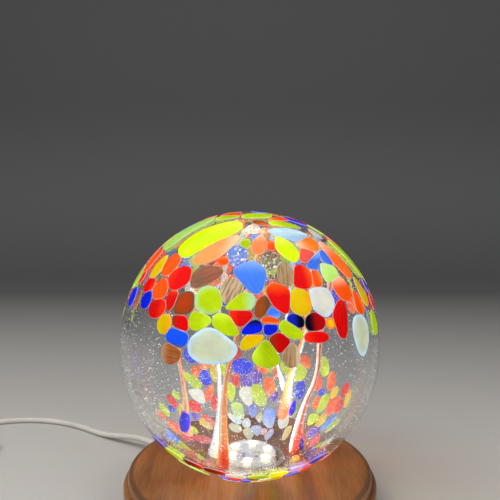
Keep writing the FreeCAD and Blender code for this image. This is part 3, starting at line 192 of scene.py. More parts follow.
def vector(tree, operation, *values):
    """What a Vector Math node gives, which for a length or a distance is a number."""
    made = add(tree, "ShaderNodeVectorMath", dict(enumerate(values)), operation=operation)
    return made.outputs["Value" if operation in ("LENGTH", "DISTANCE") else "Vector"]


def parts(tree, value):
    """A vector's X, Y and Z."""
    return add(tree, "ShaderNodeSeparateXYZ", {"Vector": value}).outputs


def span(tree, value, low, high, to_low=0.0, to_high=1.0, **settings):
    """A value from low to high as one from to_low to to_high."""
    inputs = {"Value": value, "From Min": low, "From Max": high, "To Min": to_low, "To Max": to_high}
    return add(tree, "ShaderNodeMapRange", inputs, **settings).outputs["Result"]


def mixed(tree, factor, first, second, way="MIX"):
    """Two colours mixed."""
    inputs = {"Factor": factor, "A": first, "B": second}
    return add(tree, "ShaderNodeMix", inputs, data_type="RGBA", blend_type=way).outputs["Result"]


def mixed_shader(tree, factor, first, second):
    return add(tree, "ShaderNodeMixShader", {"Fac": factor, 1: first, 2: second}).outputs[0]


def ramp(tree, factor, *stops):
    """A colour ramp of (place, colour) stops on a factor."""
    made = add(tree, "ShaderNodeValToRGB", {"Fac": factor})
    elements = made.color_ramp.elements
    while len(elements) < len(stops):
        elements.new(0.5)
    for element, (place, colour) in zip(elements, stops):
        element.position = place
        element.color = (*colour, 1)
    return made.outputs["Color"]


def placed(tree, scale=(1, 1, 1), turn=(0, 0, 0)):
    """Object coordinates, scaled and turned."""
    coordinates = add(tree, "ShaderNodeTexCoord").outputs["Object"]
    inputs = {"Vector": coordinates, "Scale": scale, "Rotation": turn}
    return add(tree, "ShaderNodeMapping", inputs).outputs["Vector"]


def noise(tree, where, scale, detail=3.0, roughness=0.5):
    inputs = {"Vector": where, "Scale": scale, "Detail": detail, "Roughness": roughness}
    return add(tree, "ShaderNodeTexNoise", inputs).outputs["Fac"]


def attribute(tree, name, output="Fac"):
    return add(tree, "ShaderNodeAttribute", attribute_name=name).outputs[output]


def bump(tree, shader, height, strength, depth):
    made = add(tree, "ShaderNodeBump", {"Height": height, "Strength": strength, "Distance": depth})
    fill(tree, shader, {"Normal": made.outputs["Normal"]})


def graph(name):
    """A new material, with its node tree and its Principled shader."""
    made = bpy.data.materials.new(name)
    made.use_nodes = True
    return made, made.node_tree, made.node_tree.nodes["Principled BSDF"]


def let_lamps_through(tree, surface, colour):
    """Rays that look for a lamp pass as through tinted film, so what is behind gets its light."""
    film = add(tree, "ShaderNodeBsdfTransparent", {"Color": colour}).outputs[0]
    for_lamps = add(tree, "ShaderNodeLightPath").outputs["Is Shadow Ray"]
    fill(tree, tree.nodes["Material Output"], {"Surface": mixed_shader(tree, for_lamps, surface, film)})


def geometry_tree(name, *sockets):
    """An empty Geometry Nodes tree with those inputs, each a name and a socket type."""
    tree = bpy.data.node_groups.new(name, "GeometryNodeTree")
    tree.interface.new_socket("Shape", in_out="OUTPUT", socket_type="NodeSocketGeometry")
    for label, kind in sockets:
        tree.interface.new_socket(label, in_out="INPUT", socket_type=kind)
    return tree, tree.nodes.new("NodeGroupInput").outputs


def end_tree(tree, geometry, finish):
    """Makes instances real, sets the finish and hands the result out."""
    real = add(tree, "GeometryNodeRealizeInstances", {"Geometry": geometry}).outputs[0]
    done = add(tree, "GeometryNodeSetMaterial", {"Geometry": real, "Material": finish})
    fill(tree, tree.nodes.new("NodeGroupOutput"), {"Shape": done.outputs[0]})


def apply_tree(carrier, tree, values, name):
    """Runs a tree on an object with inputs given by name, and returns the plain mesh piece."""
    modifier = carrier.modifiers.new(tree.name, "NODES")
    modifier.node_group = tree
    for item in tree.interface.items_tree:
        if item.in_out == "INPUT" and item.name in values:
            modifier[item.identifier] = values[item.name]
    return grown(carrier, name)


def linear(screen):
    """A screen colour from 0 to 255 as the linear colour that a shader wants."""
    shares = [value / 255 for value in screen]
    return tuple(v / 12.92 if v <= 0.04045 else ((v + 0.055) / 1.055) ** 2.4 for v in shares)

# %% [markdown]
# ## The cord
#
# The cord is thin and limp. It leaves the base at the back on the left, drops to the floor and
# runs out of the view to its switch, and the rest is wound in a small two-layer coil that ends
# in the plug. Its route is a list of given points, in millimetres, and a NURBS curve
# makes it flow. The coil is half circles whose radius shrinks and grows again.

# %% Cord routes
CORD_WIDE = 3.5 * MM
LYING = 1.75
SWITCH_X, SWITCH_TOP_END, SWITCH_LOW_END = -195.25, 45.0, -17.0
SWITCH_AXIS = 5.5
PLUG_X, PLUG_BACK, PLUG_AXIS = -160.0, 14.0, 4.0
COIL_MIDDLE = (-166.0, -50.0)
COIL_INNER, COIL_STEP, COIL_HALF_TURNS = 12.25, 4.0, 8
COIL_POINTS = 9
EXIT_TURN = math.radians(140)
EXIT_REACH, EXIT_STRAIGHT, EXIT_HIGH = 73.5, 14.0, 7.5


def out_of_base(reach):
    return (reach * math.cos(EXIT_TURN), reach * math.sin(EXIT_TURN), EXIT_HIGH)


run_route = [
    out_of_base(EXIT_REACH),
    out_of_base(EXIT_REACH + EXIT_STRAIGHT),
    (-80.5, 64.8, 4.6),
    (-94.5, 74.2, LYING),
    (-111, 86.6, LYING),
    (-127, 94.6, LYING),
    (-146, 98.6, LYING),
    (-167, 96.0, LYING),
    (-183.5, 86.5, LYING),
    (-193, 72, 2.8),
    (SWITCH_X, 58, SWITCH_AXIS),
    (SWITCH_X, SWITCH_TOP_END, SWITCH_AXIS),
]


def coil_route():
    """A spiral in on the floor, a half turn up, and a spiral out over it."""
    route = []
    outer = COIL_INNER + COIL_HALF_TURNS * COIL_STEP / 2 + COIL_STEP / 4
    x, side, high = -outer, 1, LYING
    for half in range(2 * COIL_HALF_TURNS + 1):
        radius = COIL_INNER + abs(half - COIL_HALF_TURNS) * COIL_STEP / 2
        for k in range(COIL_POINTS):
            share = k / COIL_POINTS
            rise = COIL_STEP * (3 - 2 * share) * share**2 if half == COIL_HALF_TURNS else 0
            along = x + side * radius * (1 - math.cos(math.pi * share))
            across = -side * radius * math.sin(math.pi * share)
            route.append((COIL_MIDDLE[0] + along, COIL_MIDDLE[1] + across, high + rise))
        x += 2 * side * radius
        high += COIL_STEP if half == COIL_HALF_TURNS else 0
        side = -side
    route.append((COIL_MIDDLE[0] + x, COIL_MIDDLE[1], high))
    return route


lead_route = [
    (SWITCH_X, SWITCH_LOW_END, SWITCH_AXIS),
    (SWITCH_X, SWITCH_LOW_END - 8, SWITCH_AXIS),
    (SWITCH_X - 0.6, -34, 2.3),
    (SWITCH_X, -40, LYING),
    (SWITCH_X, -46.5, LYING),
]
tail_route = [
    (-138.75, -46.5, 5.75),
    (-138.75, -37, 5.75),
    (-142.3, -26.5, 3.4),
    (-149, -15, 1.9),
    (-156.5, -5.5, 2.6),
    (PLUG_X, 5, PLUG_AXIS),
    (PLUG_X, PLUG_BACK, PLUG_AXIS),
]


def cord_curve(name, route):
    """A round cord along a smooth line that has the route's points as its control points."""
    data = bpy.data.curves.new(name, "CURVE")
    data.dimensions = "3D"
    # The thickness is kept on the points, because a curve's box grows by their radius
    data.bevel_depth = 1.0
    data.bevel_resolution = 4
    data.resolution_u = 8
    data.use_fill_caps = True
    spline = data.splines.new("NURBS")
    spline.points.add(len(route) - 1)
    for point, place in zip(spline.points, route):
        point.co = (*(MM * value for value in place), 1)
        point.radius = CORD_WIDE / 2
    spline.order_u = 3
    spline.use_endpoint_u = True
    return shown(name, data)


cord_to_switch = cord_curve("cord_to_switch", run_route)
carried(cord_to_switch, "base", "cord_skin", "cord_run")
cord_to_plug = cord_curve("cord_to_plug", lead_route + coil_route() + tail_route)
carried(cord_to_plug, "base", "cord_skin", "cord_lead", "cord_coil", "cord_tail")
print("coil points", len(coil_route()))

# %% [markdown]
# ## Light and floor
#
# The lamp stands on a plain pale floor, which bends up into a wall further back and gets darker on
# the way there, so that clear glass and its seeds stand out against it. Two broad lamps light it
# softly. They are left out of reflections, where they would be two white squares, and the world,
# which is dark at the sides and pale above, is what the glass mirrors.

# %% Floor and backdrop
FLOOR_COLOUR = (0.50, 0.48, 0.45)
BACKDROP_COLOUR = (0.11, 0.11, 0.11)
FADE_FROM, FADE_TO = 0.05, 0.60
FLOOR_HALF = 1.6
BEND_START, BEND_RADIUS, WALL_HIGH, BEND_STEPS = 0.75, 0.35, 1.4, 12

sweep = [(-FLOOR_HALF, 0.0), (BEND_START, 0.0)]
for k in range(1, BEND_STEPS + 1):
    bend = math.radians(90 * k / BEND_STEPS)
    sweep.append((BEND_START + BEND_RADIUS * math.sin(bend), BEND_RADIUS * (1 - math.cos(bend))))
sweep.append((BEND_START + BEND_RADIUS, WALL_HIGH))
floor_points = [(x, y, z) for y, z in sweep for x in (-2 * FLOOR_HALF, 2 * FLOOR_HALF)]
floor_faces = [(2 * k, 2 * k + 1, 2 * k + 3, 2 * k + 2) for k in range(len(sweep) - 1)]
table = piece_from("table", floor_points, floor_faces)
pale_floor, floor_tree, floor_shader = graph("pale_floor")
away = parts(floor_tree, placed(floor_tree))["Y"]
faded = ramp(floor_tree, away, (FADE_FROM, FLOOR_COLOUR), (FADE_TO, BACKDROP_COLOUR))
fill(floor_tree, floor_shader, {"Base Color": faded, "Roughness": 0.6})
put(table, pale_floor)
shade(table, ROUNDED)

# %% World and lamps
SIDES_COLOUR, ABOVE_COLOUR = (0.20, 0.20, 0.21), (0.85, 0.85, 0.86)
WORLD_LIGHT = 0.40
LAMP_AIM = (0, 0, 0.06)

world = bpy.data.worlds.new("studio")
world.use_nodes = True
scene.world = world
sky = world.node_tree
lit = sky.nodes["Background"]
fill(sky, lit, {"Color": (1.0, 1.0, 1.0), "Strength": WORLD_LIGHT})
upward = parts(sky, add(sky, "ShaderNodeTexCoord").outputs["Generated"])["Z"]
room = ramp(sky, upward, (0.0, SIDES_COLOUR), (0.25, SIDES_COLOUR), (0.75, ABOVE_COLOUR))
mirrored = add(sky, "ShaderNodeBackground", {"Color": room, "Strength": 1.0})
direct = add(sky, "ShaderNodeBackground", {"Color": BACKDROP_COLOUR, "Strength": 1.0})
rays = add(sky, "ShaderNodeLightPath").outputs
by_glass = number(sky, "MAXIMUM", rays["Is Glossy Ray"], rays["Is Transmission Ray"])
around = mixed_shader(sky, by_glass, lit.outputs[0], mirrored.outputs[0])
around = mixed_shader(sky, rays["Is Camera Ray"], around, direct.outputs[0])
fill(sky, sky.nodes["World Output"], {"Surface": around})


def soft_lamp(name, place, size, power):
    data = bpy.data.lights.new(name, "AREA")
    data.shape = "RECTANGLE"
    data.size, data.size_y = size
    data.energy = power
    lamp = shown(name, data)
    lamp.location = place
    lamp.rotation_euler = (Vector(LAMP_AIM) - Vector(place)).to_track_quat("-Z", "Y").to_euler()
    lamp.visible_glossy = False


soft_lamp("key", (-0.45, -0.25, 0.75), (0.5, 0.4), 5.0)
soft_lamp("fill", (0.6, -0.5, 0.45), (0.5, 0.5), 2.5)

# %% [markdown]
# ## Turning on a lathe
#
# The ball and the base are shapes of revolution. A node tree does what a lathe does: it sweeps
# a flat outline round a circle. The outline is drawn as radius and height; the tree turns it,
# closes the seam and puts the finish on.

# %% The lathe tree
WHEEL = 50 * MM
lathe, given = geometry_tree(
    "lathe",
    ("Outline", "NodeSocketGeometry"),
    ("Steps", "NodeSocketInt"),
    ("Wheel radius", "NodeSocketFloat"),
    ("Finish", "NodeSocketMaterial"),
)
inputs = {"Resolution": given["Steps"], "Radius": given["Wheel radius"]}
wheel = add(lathe, "GeometryNodeCurvePrimitiveCircle", inputs)
inputs = {"Curve": wheel.outputs["Curve"], "Profile Curve": given["Outline"]}
swept = add(lathe, "GeometryNodeCurveToMesh", inputs)
inputs = {"Geometry": swept.outputs["Mesh"], "Distance": SAME_POINT}
closed = add(lathe, "GeometryNodeMergeByDistance", inputs)
end_tree(lathe, closed.outputs["Geometry"], given["Finish"])


def turn(name, outlines, steps, finish):
    """A turned piece from outlines of (radius, height) points in metres."""
    data = bpy.data.curves.new(name, "CURVE")
    data.dimensions = "3D"
    for outline in outlines:
        spline = data.splines.new("POLY")
        spline.points.add(len(outline) - 1)
        for point, (radius, high) in zip(spline.points, outline):
            point.co = (radius - WHEEL, -high, 0, 1)
    values = {"Steps": steps, "Wheel radius": WHEEL, "Finish": finish}
    piece = apply_tree(shown(name, data), lathe, values, name)
    face_out(piece.data)
    return piece


# %% [markdown]
# ## The glass
#
# Blown glass is clear with a slight waviness, because it was never ground flat. A Principled
# shader with full transmission bends light as glass does. The waves are a weak bump on a
# stretched noise. Rays that look for a lamp pass straight through, which real glass also lets
# most light do, and keeps the hollow bright without grain in the picture.

# %% Glass finish


def glass_finish():
    made, tree, shader = graph("blown_glass")
    colour = (0.91, 0.925, 0.935)
    looks = {"Base Color": colour, "Roughness": 0.0, "IOR": 1.48, "Transmission Weight": 1.0}
    fill(tree, shader, looks)
    bump(tree, shader, noise(tree, placed(tree, (1, 1, 0.45)), 38, 2), 0.22, 0.9 * MM)
    let_lamps_through(tree, shader.outputs[0], (0.96, 0.98, 0.98))
    return made

# %% The ball
ball_low, ball_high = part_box("glass_ball")
BALL_RADIUS = ball_high.x
BALL_BAND = 3.3 * MM
GLASS_WALL = 3.0 * MM
MOUTH_RADIUS = 15.0 * MM
RIM = ball_low.z
BALL_MIDDLE = ball_high.z - BALL_RADIUS - BALL_BAND / 2
POLE_STEPS = 56
BALL_STEPS = 144


def oval_arc(radius, low_angle, steps):
    """From an angle below the equator up to the top, round two half circles with a band between."""
    line = []
    for k in range(steps + 1):
        angle = low_angle + (math.pi / 2 - low_angle) * k / steps
        shift = BALL_BAND / 2 if angle > 0 else -BALL_BAND / 2
        line.append((max(0.0, radius * math.cos(angle)), BALL_MIDDLE + shift + radius * math.sin(angle)))
    line[-1] = (0.0, line[-1][1])
    return line


inner_radius = BALL_RADIUS - GLASS_WALL
low_middle = BALL_MIDDLE - BALL_BAND / 2
foot_angle = -math.asin((low_middle - RIM) / BALL_RADIUS)
mouth_angle = -math.acos(MOUTH_RADIUS / inner_radius)
mouth_top = low_middle + inner_radius * math.sin(mouth_angle)
outside = [(MOUTH_RADIUS, mouth_top), (MOUTH_RADIUS, RIM)] + oval_arc(BALL_RADIUS, foot_angle, POLE_STEPS)
inside = oval_arc(inner_radius, mouth_angle, POLE_STEPS)
glass = glass_finish()
ball = turn("blown_ball", [outside, inside], BALL_STEPS, glass)
shade(ball)
carried(ball, "ball", "clear_glass", "glass_ball")
print("ball faces", len(ball.data.polygons))

# %% [markdown]
# ## Seeds in the wall
#
# Fine bubbles, called seeds, are caught in hand-blown glass, thickest where the gather was
# stirred. A node tree scatters small round beads on a surface halfway through the wall. A
# noise decides where they crowd, and a fixed seed keeps them in place from render to render.

# %% Seeds
SEED_RADIUS, SEED_SCALES = 0.24 * MM, (0.35, 1.0)
SEEDS_PER_SQUARE_METRE = 760000
SPARSEST, CROWDED_BELOW = 0.10, 0.35
LOW_CROWD_FROM, LOW_CROWD_TO = 66 * MM, 34 * MM
WALL_SHARE = 0.5
SEED_GLOW = 0.9

seeding, given = geometry_tree(
    "seeding",
    ("Surface", "NodeSocketGeometry"),
    ("Most per square metre", "NodeSocketFloat"),
    ("Bead radius", "NodeSocketFloat"),
    ("Seed", "NodeSocketInt"),
    ("Finish", "NodeSocketMaterial"),
)
where = add(seeding, "GeometryNodeInputPosition").outputs[0]
crowd = noise(seeding, vector(seeding, "MULTIPLY", where, (1.0, 1.0, 0.3)), 75.0, 2.0)
crowd = span(seeding, crowd, 0.40, 0.66, SPARSEST)
low_down = span(seeding, parts(seeding, where)["Z"], LOW_CROWD_FROM, LOW_CROWD_TO)
crowd = number(seeding, "MULTIPLY_ADD", low_down, CROWDED_BELOW, crowd)
density = number(seeding, "MULTIPLY", crowd, given["Most per square metre"])
inputs = {"Mesh": given["Surface"], "Density": density, "Seed": given["Seed"]}
scattered = add(seeding, "GeometryNodeDistributePointsOnFaces", inputs).outputs["Points"]
inputs = {"Segments": 4, "Rings": 2, "Radius": given["Bead radius"]}
bead = add(seeding, "GeometryNodeMeshUVSphere", inputs).outputs["Mesh"]
sizes = add(seeding, "FunctionNodeRandomValue", {"Seed": 5, 2: SEED_SCALES[0], 3: SEED_SCALES[1]})
inputs = {"Points": scattered, "Instance": bead, "Scale": sizes.outputs[1]}
beads = add(seeding, "GeometryNodeInstanceOnPoints", inputs).outputs[0]
end_tree(seeding, beads, given["Finish"])


def seed_finish():
    made, tree, shader = graph("seeds")
    glint = ramp(tree, noise(tree, placed(tree), 700, 1), (0.42, (0.16, 0.17, 0.19)), (0.56, (1, 1, 1)))
    looks = {"Base Color": glint, "Emission Color": glint, "Emission Strength": SEED_GLOW, "Roughness": 0.25}
    fill(tree, shader, looks)
    let_lamps_through(tree, shader.outputs[0], (0.9, 0.9, 0.9))
    return made


seed_line = oval_arc(BALL_RADIUS - GLASS_WALL * WALL_SHARE, math.radians(-66), 40)
values = {
    "Most per square metre": SEEDS_PER_SQUARE_METRE,
    "Bead radius": SEED_RADIUS,
    "Seed": 11,
    "Finish": seed_finish(),
}
seeds = apply_tree(turn("seed_surface", [seed_line], 96, glass), seeding, values, "glass_seeds")
shade(seeds, ALL_SMOOTH)
carried(seeds, "ball", "clear_glass")
print("seed faces", len(seeds.data.polygons))

# %% [markdown]
# ## Coloured chips
#
# Each chip was a crushed piece of coloured glass that melted flat into the hot ball, so it has a
# soft outline and a domed face that dips at its rim. The solids hold every chip's true place
# and outline. From each outline a finer face is grown: the corners are rounded off, then rings
# step in from the rim to the middle and rise to the dome. The distance from the rim is kept on
# the points, so the finish can pale towards the rim as the real chips do.

# %% Chip outlines from the solids
OUTLINE_POINTS = 40
CORNER_ROUNDS = 3
EVEN_ROUNDS = 4
SHUT_GAP = 0.16 * MM


def nearest_middle(place):
    """The middle of the half sphere, or of the band between them, that a place belongs to."""
    high = min(max(place.z, BALL_MIDDLE - BALL_BAND / 2), BALL_MIDDLE + BALL_BAND / 2)
    return Vector((0, 0, high))


def on_ball(place, proud):
    """The point of the ball's surface nearest to a place, raised by that much."""
    middle = nearest_middle(place)
    return middle + (place - middle).normalized() * (BALL_RADIUS + proud)


SAME_CORNER, FACING_OUT, CUT_BACK = 0.002 * MM, 0.6, 0.25


def outlines_of(node):
    """The closed outline of each chip's outer face."""
    work = bmesh.new()
    work.from_mesh(node.data)
    bmesh.ops.remove_doubles(work, verts=work.verts, dist=SAME_CORNER)
    work.normal_update()
    outer = set()
    for face in work.faces:
        middle = face.calc_center_median()
        if face.normal.dot((middle - nearest_middle(middle)).normalized()) > FACING_OUT:
            outer.add(face)
    follow = {}
    for face in outer:
        for loop in face.loops:
            if any(other not in outer for other in loop.edge.link_faces):
                follow[loop.vert] = loop.link_loop_next.vert
    outlines = []
    while follow:
        outline, here = [], next(iter(follow))
        while here in follow:
            outline.append(here.co.copy())
            here = follow.pop(here)
        if len(outline) > 3:
            outlines.append(outline)
    work.free()
    return outlines


def rounded(outline):
    """An outline with its corners cut back, then evenly spaced points on it, drawn smooth."""
    points = outline
    for _ in range(CORNER_ROUNDS):
        cut = []
        for here, after in zip(points, points[1:] + points[:1]):
            cut += [here.lerp(after, CUT_BACK), here.lerp(after, 1 - CUT_BACK)]
        points = cut
    middle = sum(points, Vector()) / len(points)
    points = [point + (point - middle).normalized() * SHUT_GAP for point in points]
    steps = [(after - here).length for here, after in zip(points, points[1:] + points[:1])]
    spacing = sum(steps) / OUTLINE_POINTS
    even, travelled, wanted = [], 0.0, 0.0
    for here, after, step in zip(points, points[1:] + points[:1], steps):
        while wanted < travelled + step and len(even) < OUTLINE_POINTS:
            even.append(here.lerp(after, (wanted - travelled) / step))
            wanted += spacing
        travelled += step
    for _ in range(EVEN_ROUNDS):
        before, after = even[-1:] + even[:-1], even[1:] + even[:1]
        even = [a.lerp(b, 0.5).lerp(point, 0.5) for a, point, b in zip(before, even, after)]
    return even


# %% [markdown]
# ### What colour each chip is
#
# Most chips have the colour of their batch, a little lighter or darker from chip to chip. Some
# were broken from rods with a second colour in them: it comes in from one side, or from the rim
# as a pale halo, or as streaks. Those are listed with the azimuth and latitude of their middle,
# as seen from the front. Colours are written as they look on a screen and made linear here.

# %% Chip colours
BATCHES = {
    # body, second colour
    "red": ((222, 6, 10), (236, 52, 16)),
    "orange": ((244, 92, 2), (248, 150, 60)),
    "amber": ((150, 86, 34), (190, 130, 70)),
    "yellow": ((222, 200, 0), (232, 176, 4)),
    "lime": ((190, 212, 6), (206, 228, 50)),
    "sky": ((66, 130, 238), (130, 182, 244)),
    "cobalt": ((8, 36, 222), (36, 74, 236)),
    "white": ((222, 222, 208), (196, 218, 232)),
    "purple": ((98, 62, 190), (146, 110, 214)),
}
RED, LIME, COBALT = (BATCHES[batch][0] for batch in ("red", "lime", "cobalt"))
LIME_YELLOW, PALE_LIME, ICE = (212, 236, 0), (194, 226, 126), (196, 222, 238)
PEACH, PALE_PEACH, SALMON = (244, 148, 82), (244, 198, 164), (222, 98, 84)
NIGHT, RUST = (8, 2, 26), (160, 56, 14)
AZURE, FIRE, WINE = (30, 96, 238), (236, 100, 8), (146, 22, 18)
# Azimuth, latitude, body, second colour, where that comes in, how streaky, how clear
ODD_CHIPS = [
    (-32, 58.5, LIME_YELLOW, (222, 234, 70), "top", 0.0, 0.0),
    (22.8, 52, LIME_YELLOW, (228, 238, 90), "top", 0.0, 0.0),
    (-20.5, 52.3, (236, 166, 96), (244, 206, 170), "right", 0.1, 0.0),
    (6.5, 54.5, PEACH, PALE_PEACH, "top", 0.1, 0.0),
    (13, 69, (236, 128, 44), (150, 78, 30), "top", 0.9, 0.0),
    (41, 53.8, (242, 138, 6), PALE_PEACH, "left", 0.1, 0.0),
    (46.2, 32.3, FIRE, PALE_PEACH, "top", 0.0, 0.0),
    (55.8, 44.3, (246, 128, 50), PALE_PEACH, "top", 0.0, 0.0),
    (35, 47.2, SALMON, (236, 96, 60), "top", 0.0, 0.0),
    (43.8, 39.3, PALE_LIME, (206, 226, 170), "top", 0.1, 0.0),
    (-17.3, 29.3, LIME, (180, 220, 186), "halo left", 0.0, 0.0),
    (-4, 28.7, LIME, (180, 220, 186), "right", 0.0, 0.0),
    (-28.3, 27.1, (190, 70, 14), (134, 84, 48), "rim", 0.1, 0.0),
    (5.3, 27.1, (170, 84, 22), (112, 82, 50), "right", 0.3, 0.1),
    (-8.3, 32.6, (150, 108, 60), (214, 196, 164), "streaks", 0.9, 0.25),
    (-21.5, 39.3, (142, 104, 84), (206, 120, 80), "fine streaks", 0.5, 0.35),
    (17.6, 40.4, (150, 104, 56), (206, 190, 150), "streaks", 0.4, 0.4),
    (14.8, 10, (168, 132, 86), (210, 196, 166), "right", 0.5, 0.35),
    (-30.8, 8.6, (170, 92, 30), (196, 156, 112), "left", 0.3, 0.1),
    (-28.7, 14.9, AZURE, (120, 110, 100), "low edge", 0.0, 0.0),
    (0.8, 38.9, (74, 136, 238), (140, 180, 244), "top", 0.12, 0.0),
    (12.7, 29.9, RED, FIRE, "top", 0.0, 0.0),
    (25.8, 38.3, RED, FIRE, "right", 0.0, 0.0),
    (26.3, 20.8, (190, 4, 8), NIGHT, "left half", 0.0, 0.0),
    (18, 21.7, (14, 40, 190), NIGHT, "right half", 0.0, 0.0),
    (1, 19.4, COBALT, NIGHT, "top", 0.0, 0.0),
    (-27.6, 19.6, RED, RUST, "left", 0.0, 0.0),
    (11, 13.7, (200, 6, 8), RUST, "left", 0.0, 0.0),
    (33.5, 19.5, (240, 206, 10), FIRE, "rim", 0.0, 0.0),
    (31.8, 27.7, (216, 214, 202), (206, 220, 236), "halo", 0.0, 0.0),
    (37, 59.4, (206, 224, 230), (166, 198, 222), "bottom", 0.5, 0.0),
    (-14.3, 13, (206, 206, 174), ICE, "halo", 0.2, 0.0),
    (51, 12.1, (206, 206, 174), ICE, "halo", 0.2, 0.0),
    (-7.5, 48.5, (92, 140, 222), (190, 200, 210), "glints", 0.4, 0.5),
    (11, 45.5, (122, 112, 92), (180, 170, 146), "glints", 0.8, 0.65),
    (3, 65, (226, 186, 156), (246, 238, 226), "glints", 0.8, 0.2),
    (-72, 61, (178, 214, 106), (196, 218, 150), "left", 0.3, 0.0),
    (-33, -44.5, WINE, RED, "right", 0.0, 0.0),
    (-21, -47, WINE, RED, "right", 0.0, 0.0),
    (17, -49.5, (236, 228, 20), LIME_YELLOW, "left", 0.0, 0.0),
    (29, -46.5, (216, 190, 214), (150, 110, 210), "right", 0.2, 0.2),
]
NEAR_ENOUGH = math.radians(4.0)
LIGHTER = 0.84, 1.04
chance = random.Random(7)


def look_of(middle, batch):
    """The colours of the chip whose middle is there, and how they lie on it."""
    way = (middle - nearest_middle(middle)).normalized()
    near = []
    for azimuth, latitude, *look in ODD_CHIPS:
        a, b = math.radians(azimuth), math.radians(latitude)
        listed = Vector((math.cos(b) * math.sin(a), -math.cos(b) * math.cos(a), math.sin(b)))
        near.append((way.angle(listed), look))
    angle, look = min(near, key=lambda pair: pair[0])
    if angle < NEAR_ENOUGH:
        body, second, *rest = look
        return linear(body), linear(second), *rest
    body, second = map(linear, BATCHES[batch])
    lighter = chance.uniform(*LIGHTER)
    body = tuple(lighter * value for value in body)
    side = chance.choice(("top", "bottom", "left", "right", "none", "none"))
    streaky, clear = (0.9, 0.15) if batch == "amber" else (0.15, 0.0)
    return body, second, side, streaky, clear

# %% [markdown]
# ### Growing a chip from its outline
#
# Each ring of points is the outline drawn in towards the middle and raised to the dome's height
# there. Along with each point go the values that the finish needs: the two colours, the share of
# the second, the distance from the rim, and a place on the chip for its streaks to follow.

# %% Growing chips
# Rings from the underside to the middle of the dome: share of the way out, height above the glass
UNDER_PROUD = -0.08
CHIP_RINGS = (
    (0.97, UNDER_PROUD),
    (1.00, -0.02),
    (1.00, 0.10),
    (0.985, 0.20),
    (0.95, 0.29),
    (0.88, 0.35),
    (0.75, 0.385),
    (0.55, 0.40),
    (0.30, 0.40),
    (0.00, 0.40),
)
UNDER_RING = (0.00, UNDER_PROUD)


def smooth_step(value, low, high):
    share = min(1.0, max(0.0, (value - low) / (high - low)))
    return share * share * (3 - 2 * share)


def second_share(side, east, north, out):
    """How much of the second colour a point has, by its place from -1 to 1 and from the rim."""
    return {
        "top": smooth_step(north, 0.0, 0.95),
        "bottom": smooth_step(-north, 0.0, 0.95),
        "right": smooth_step(east, 0.0, 0.95),
        "left": smooth_step(-east, 0.0, 0.95),
        "right half": smooth_step(east, -0.3, 0.4),
        "left half": smooth_step(-east, -0.2, 0.5),
        "rim": smooth_step(out, 0.55, 1.0),
        "halo": smooth_step(out, 0.72, 1.0),
        "halo left": smooth_step(out, 0.62, 1.0) * smooth_step(-east, -0.9, 0.6),
        "low edge": smooth_step(-north, 0.6, 1.0),
        "glints": 0.0,
        "streaks": 0.25,
        "fine streaks": 0.0,
        "none": 0.0,
    }[side]


def grow_chips(name, node, batch):
    points, faces = [], []
    bodies, seconds, marks, spots, inside, glints = [], [], [], [], [], []
    for outline in outlines_of(node):
        line = rounded(outline)
        middle = sum(line, Vector()) / len(line)
        up = (middle - nearest_middle(middle)).normalized()
        east = Vector((0, 0, 1)).cross(up).normalized()
        north = up.cross(east)
        half_east = max(abs((point - middle).dot(east)) for point in line)
        half_north = max(abs((point - middle).dot(north)) for point in line)
        offsets = np.array([tuple(point - middle) for point in line])
        _, ways = np.linalg.eigh(offsets.T @ offsets)
        along = Vector(ways[:, -1])
        across = up.cross(along)
        body, second, side, streaky, clear = look_of(middle, batch)
        glinting = 1.0 if side == "glints" else 0.0
        shift = chance.uniform(0, 50)

        def mark(place, share, rim_from, proud):
            away = place - middle
            amount = second_share(side, away.dot(east) / half_east, away.dot(north) / half_north, share)
            points.append(place)
            bodies.append((*body, 1))
            seconds.append((*second, 1))
            marks.append((amount, streaky, clear))
            spots.append((away.dot(along) / MM, away.dot(across) / MM + shift, rim_from / MM))
            inside.append(1.0 if proud < UNDER_PROUD / 2 else 0.0)
            glints.append(glinting)

        first = len(points)
        for share, proud in CHIP_RINGS[:-1]:
            for point in line:
                from_rim = (point - middle).length * (1 - share)
                mark(on_ball(middle.lerp(point, share), proud * MM), share, from_rim, proud)
        under, over = len(points), len(points) + 1
        half_wide = min((point - middle).length for point in line)
        for share, proud in (UNDER_RING, CHIP_RINGS[-1]):
            mark(on_ball(middle, proud * MM), share, half_wide, proud)
        count = len(line)
        last = first + count * (len(CHIP_RINGS) - 2)
        for k in range(count):
            after = (k + 1) % count
            faces.append((first + after, first + k, under))
            faces.append((last + k, last + after, over))
            for ring in range(len(CHIP_RINGS) - 2):
                low, up_ring = first + ring * count, first + (ring + 1) * count
                faces.append((low + k, low + after, up_ring + after, up_ring + k))
    piece = piece_from(name, points, faces)
    for label, values in (("body", bodies), ("second", seconds)):
        layer = piece.data.attributes.new(label, "FLOAT_COLOR", "POINT")
        layer.data.foreach_set("color", [part for value in values for part in value])
    for label, values in (("marks", marks), ("spot", spots)):
        layer = piece.data.attributes.new(label, "FLOAT_VECTOR", "POINT")
        layer.data.foreach_set("vector", [part for value in values for part in value])
    for label, values in (("inside", inside), ("glints", glints)):
        piece.data.attributes.new(label, "FLOAT", "POINT").data.foreach_set("value", values)
    face_out(piece.data)
    shade(piece, ROUNDED)
    return piece
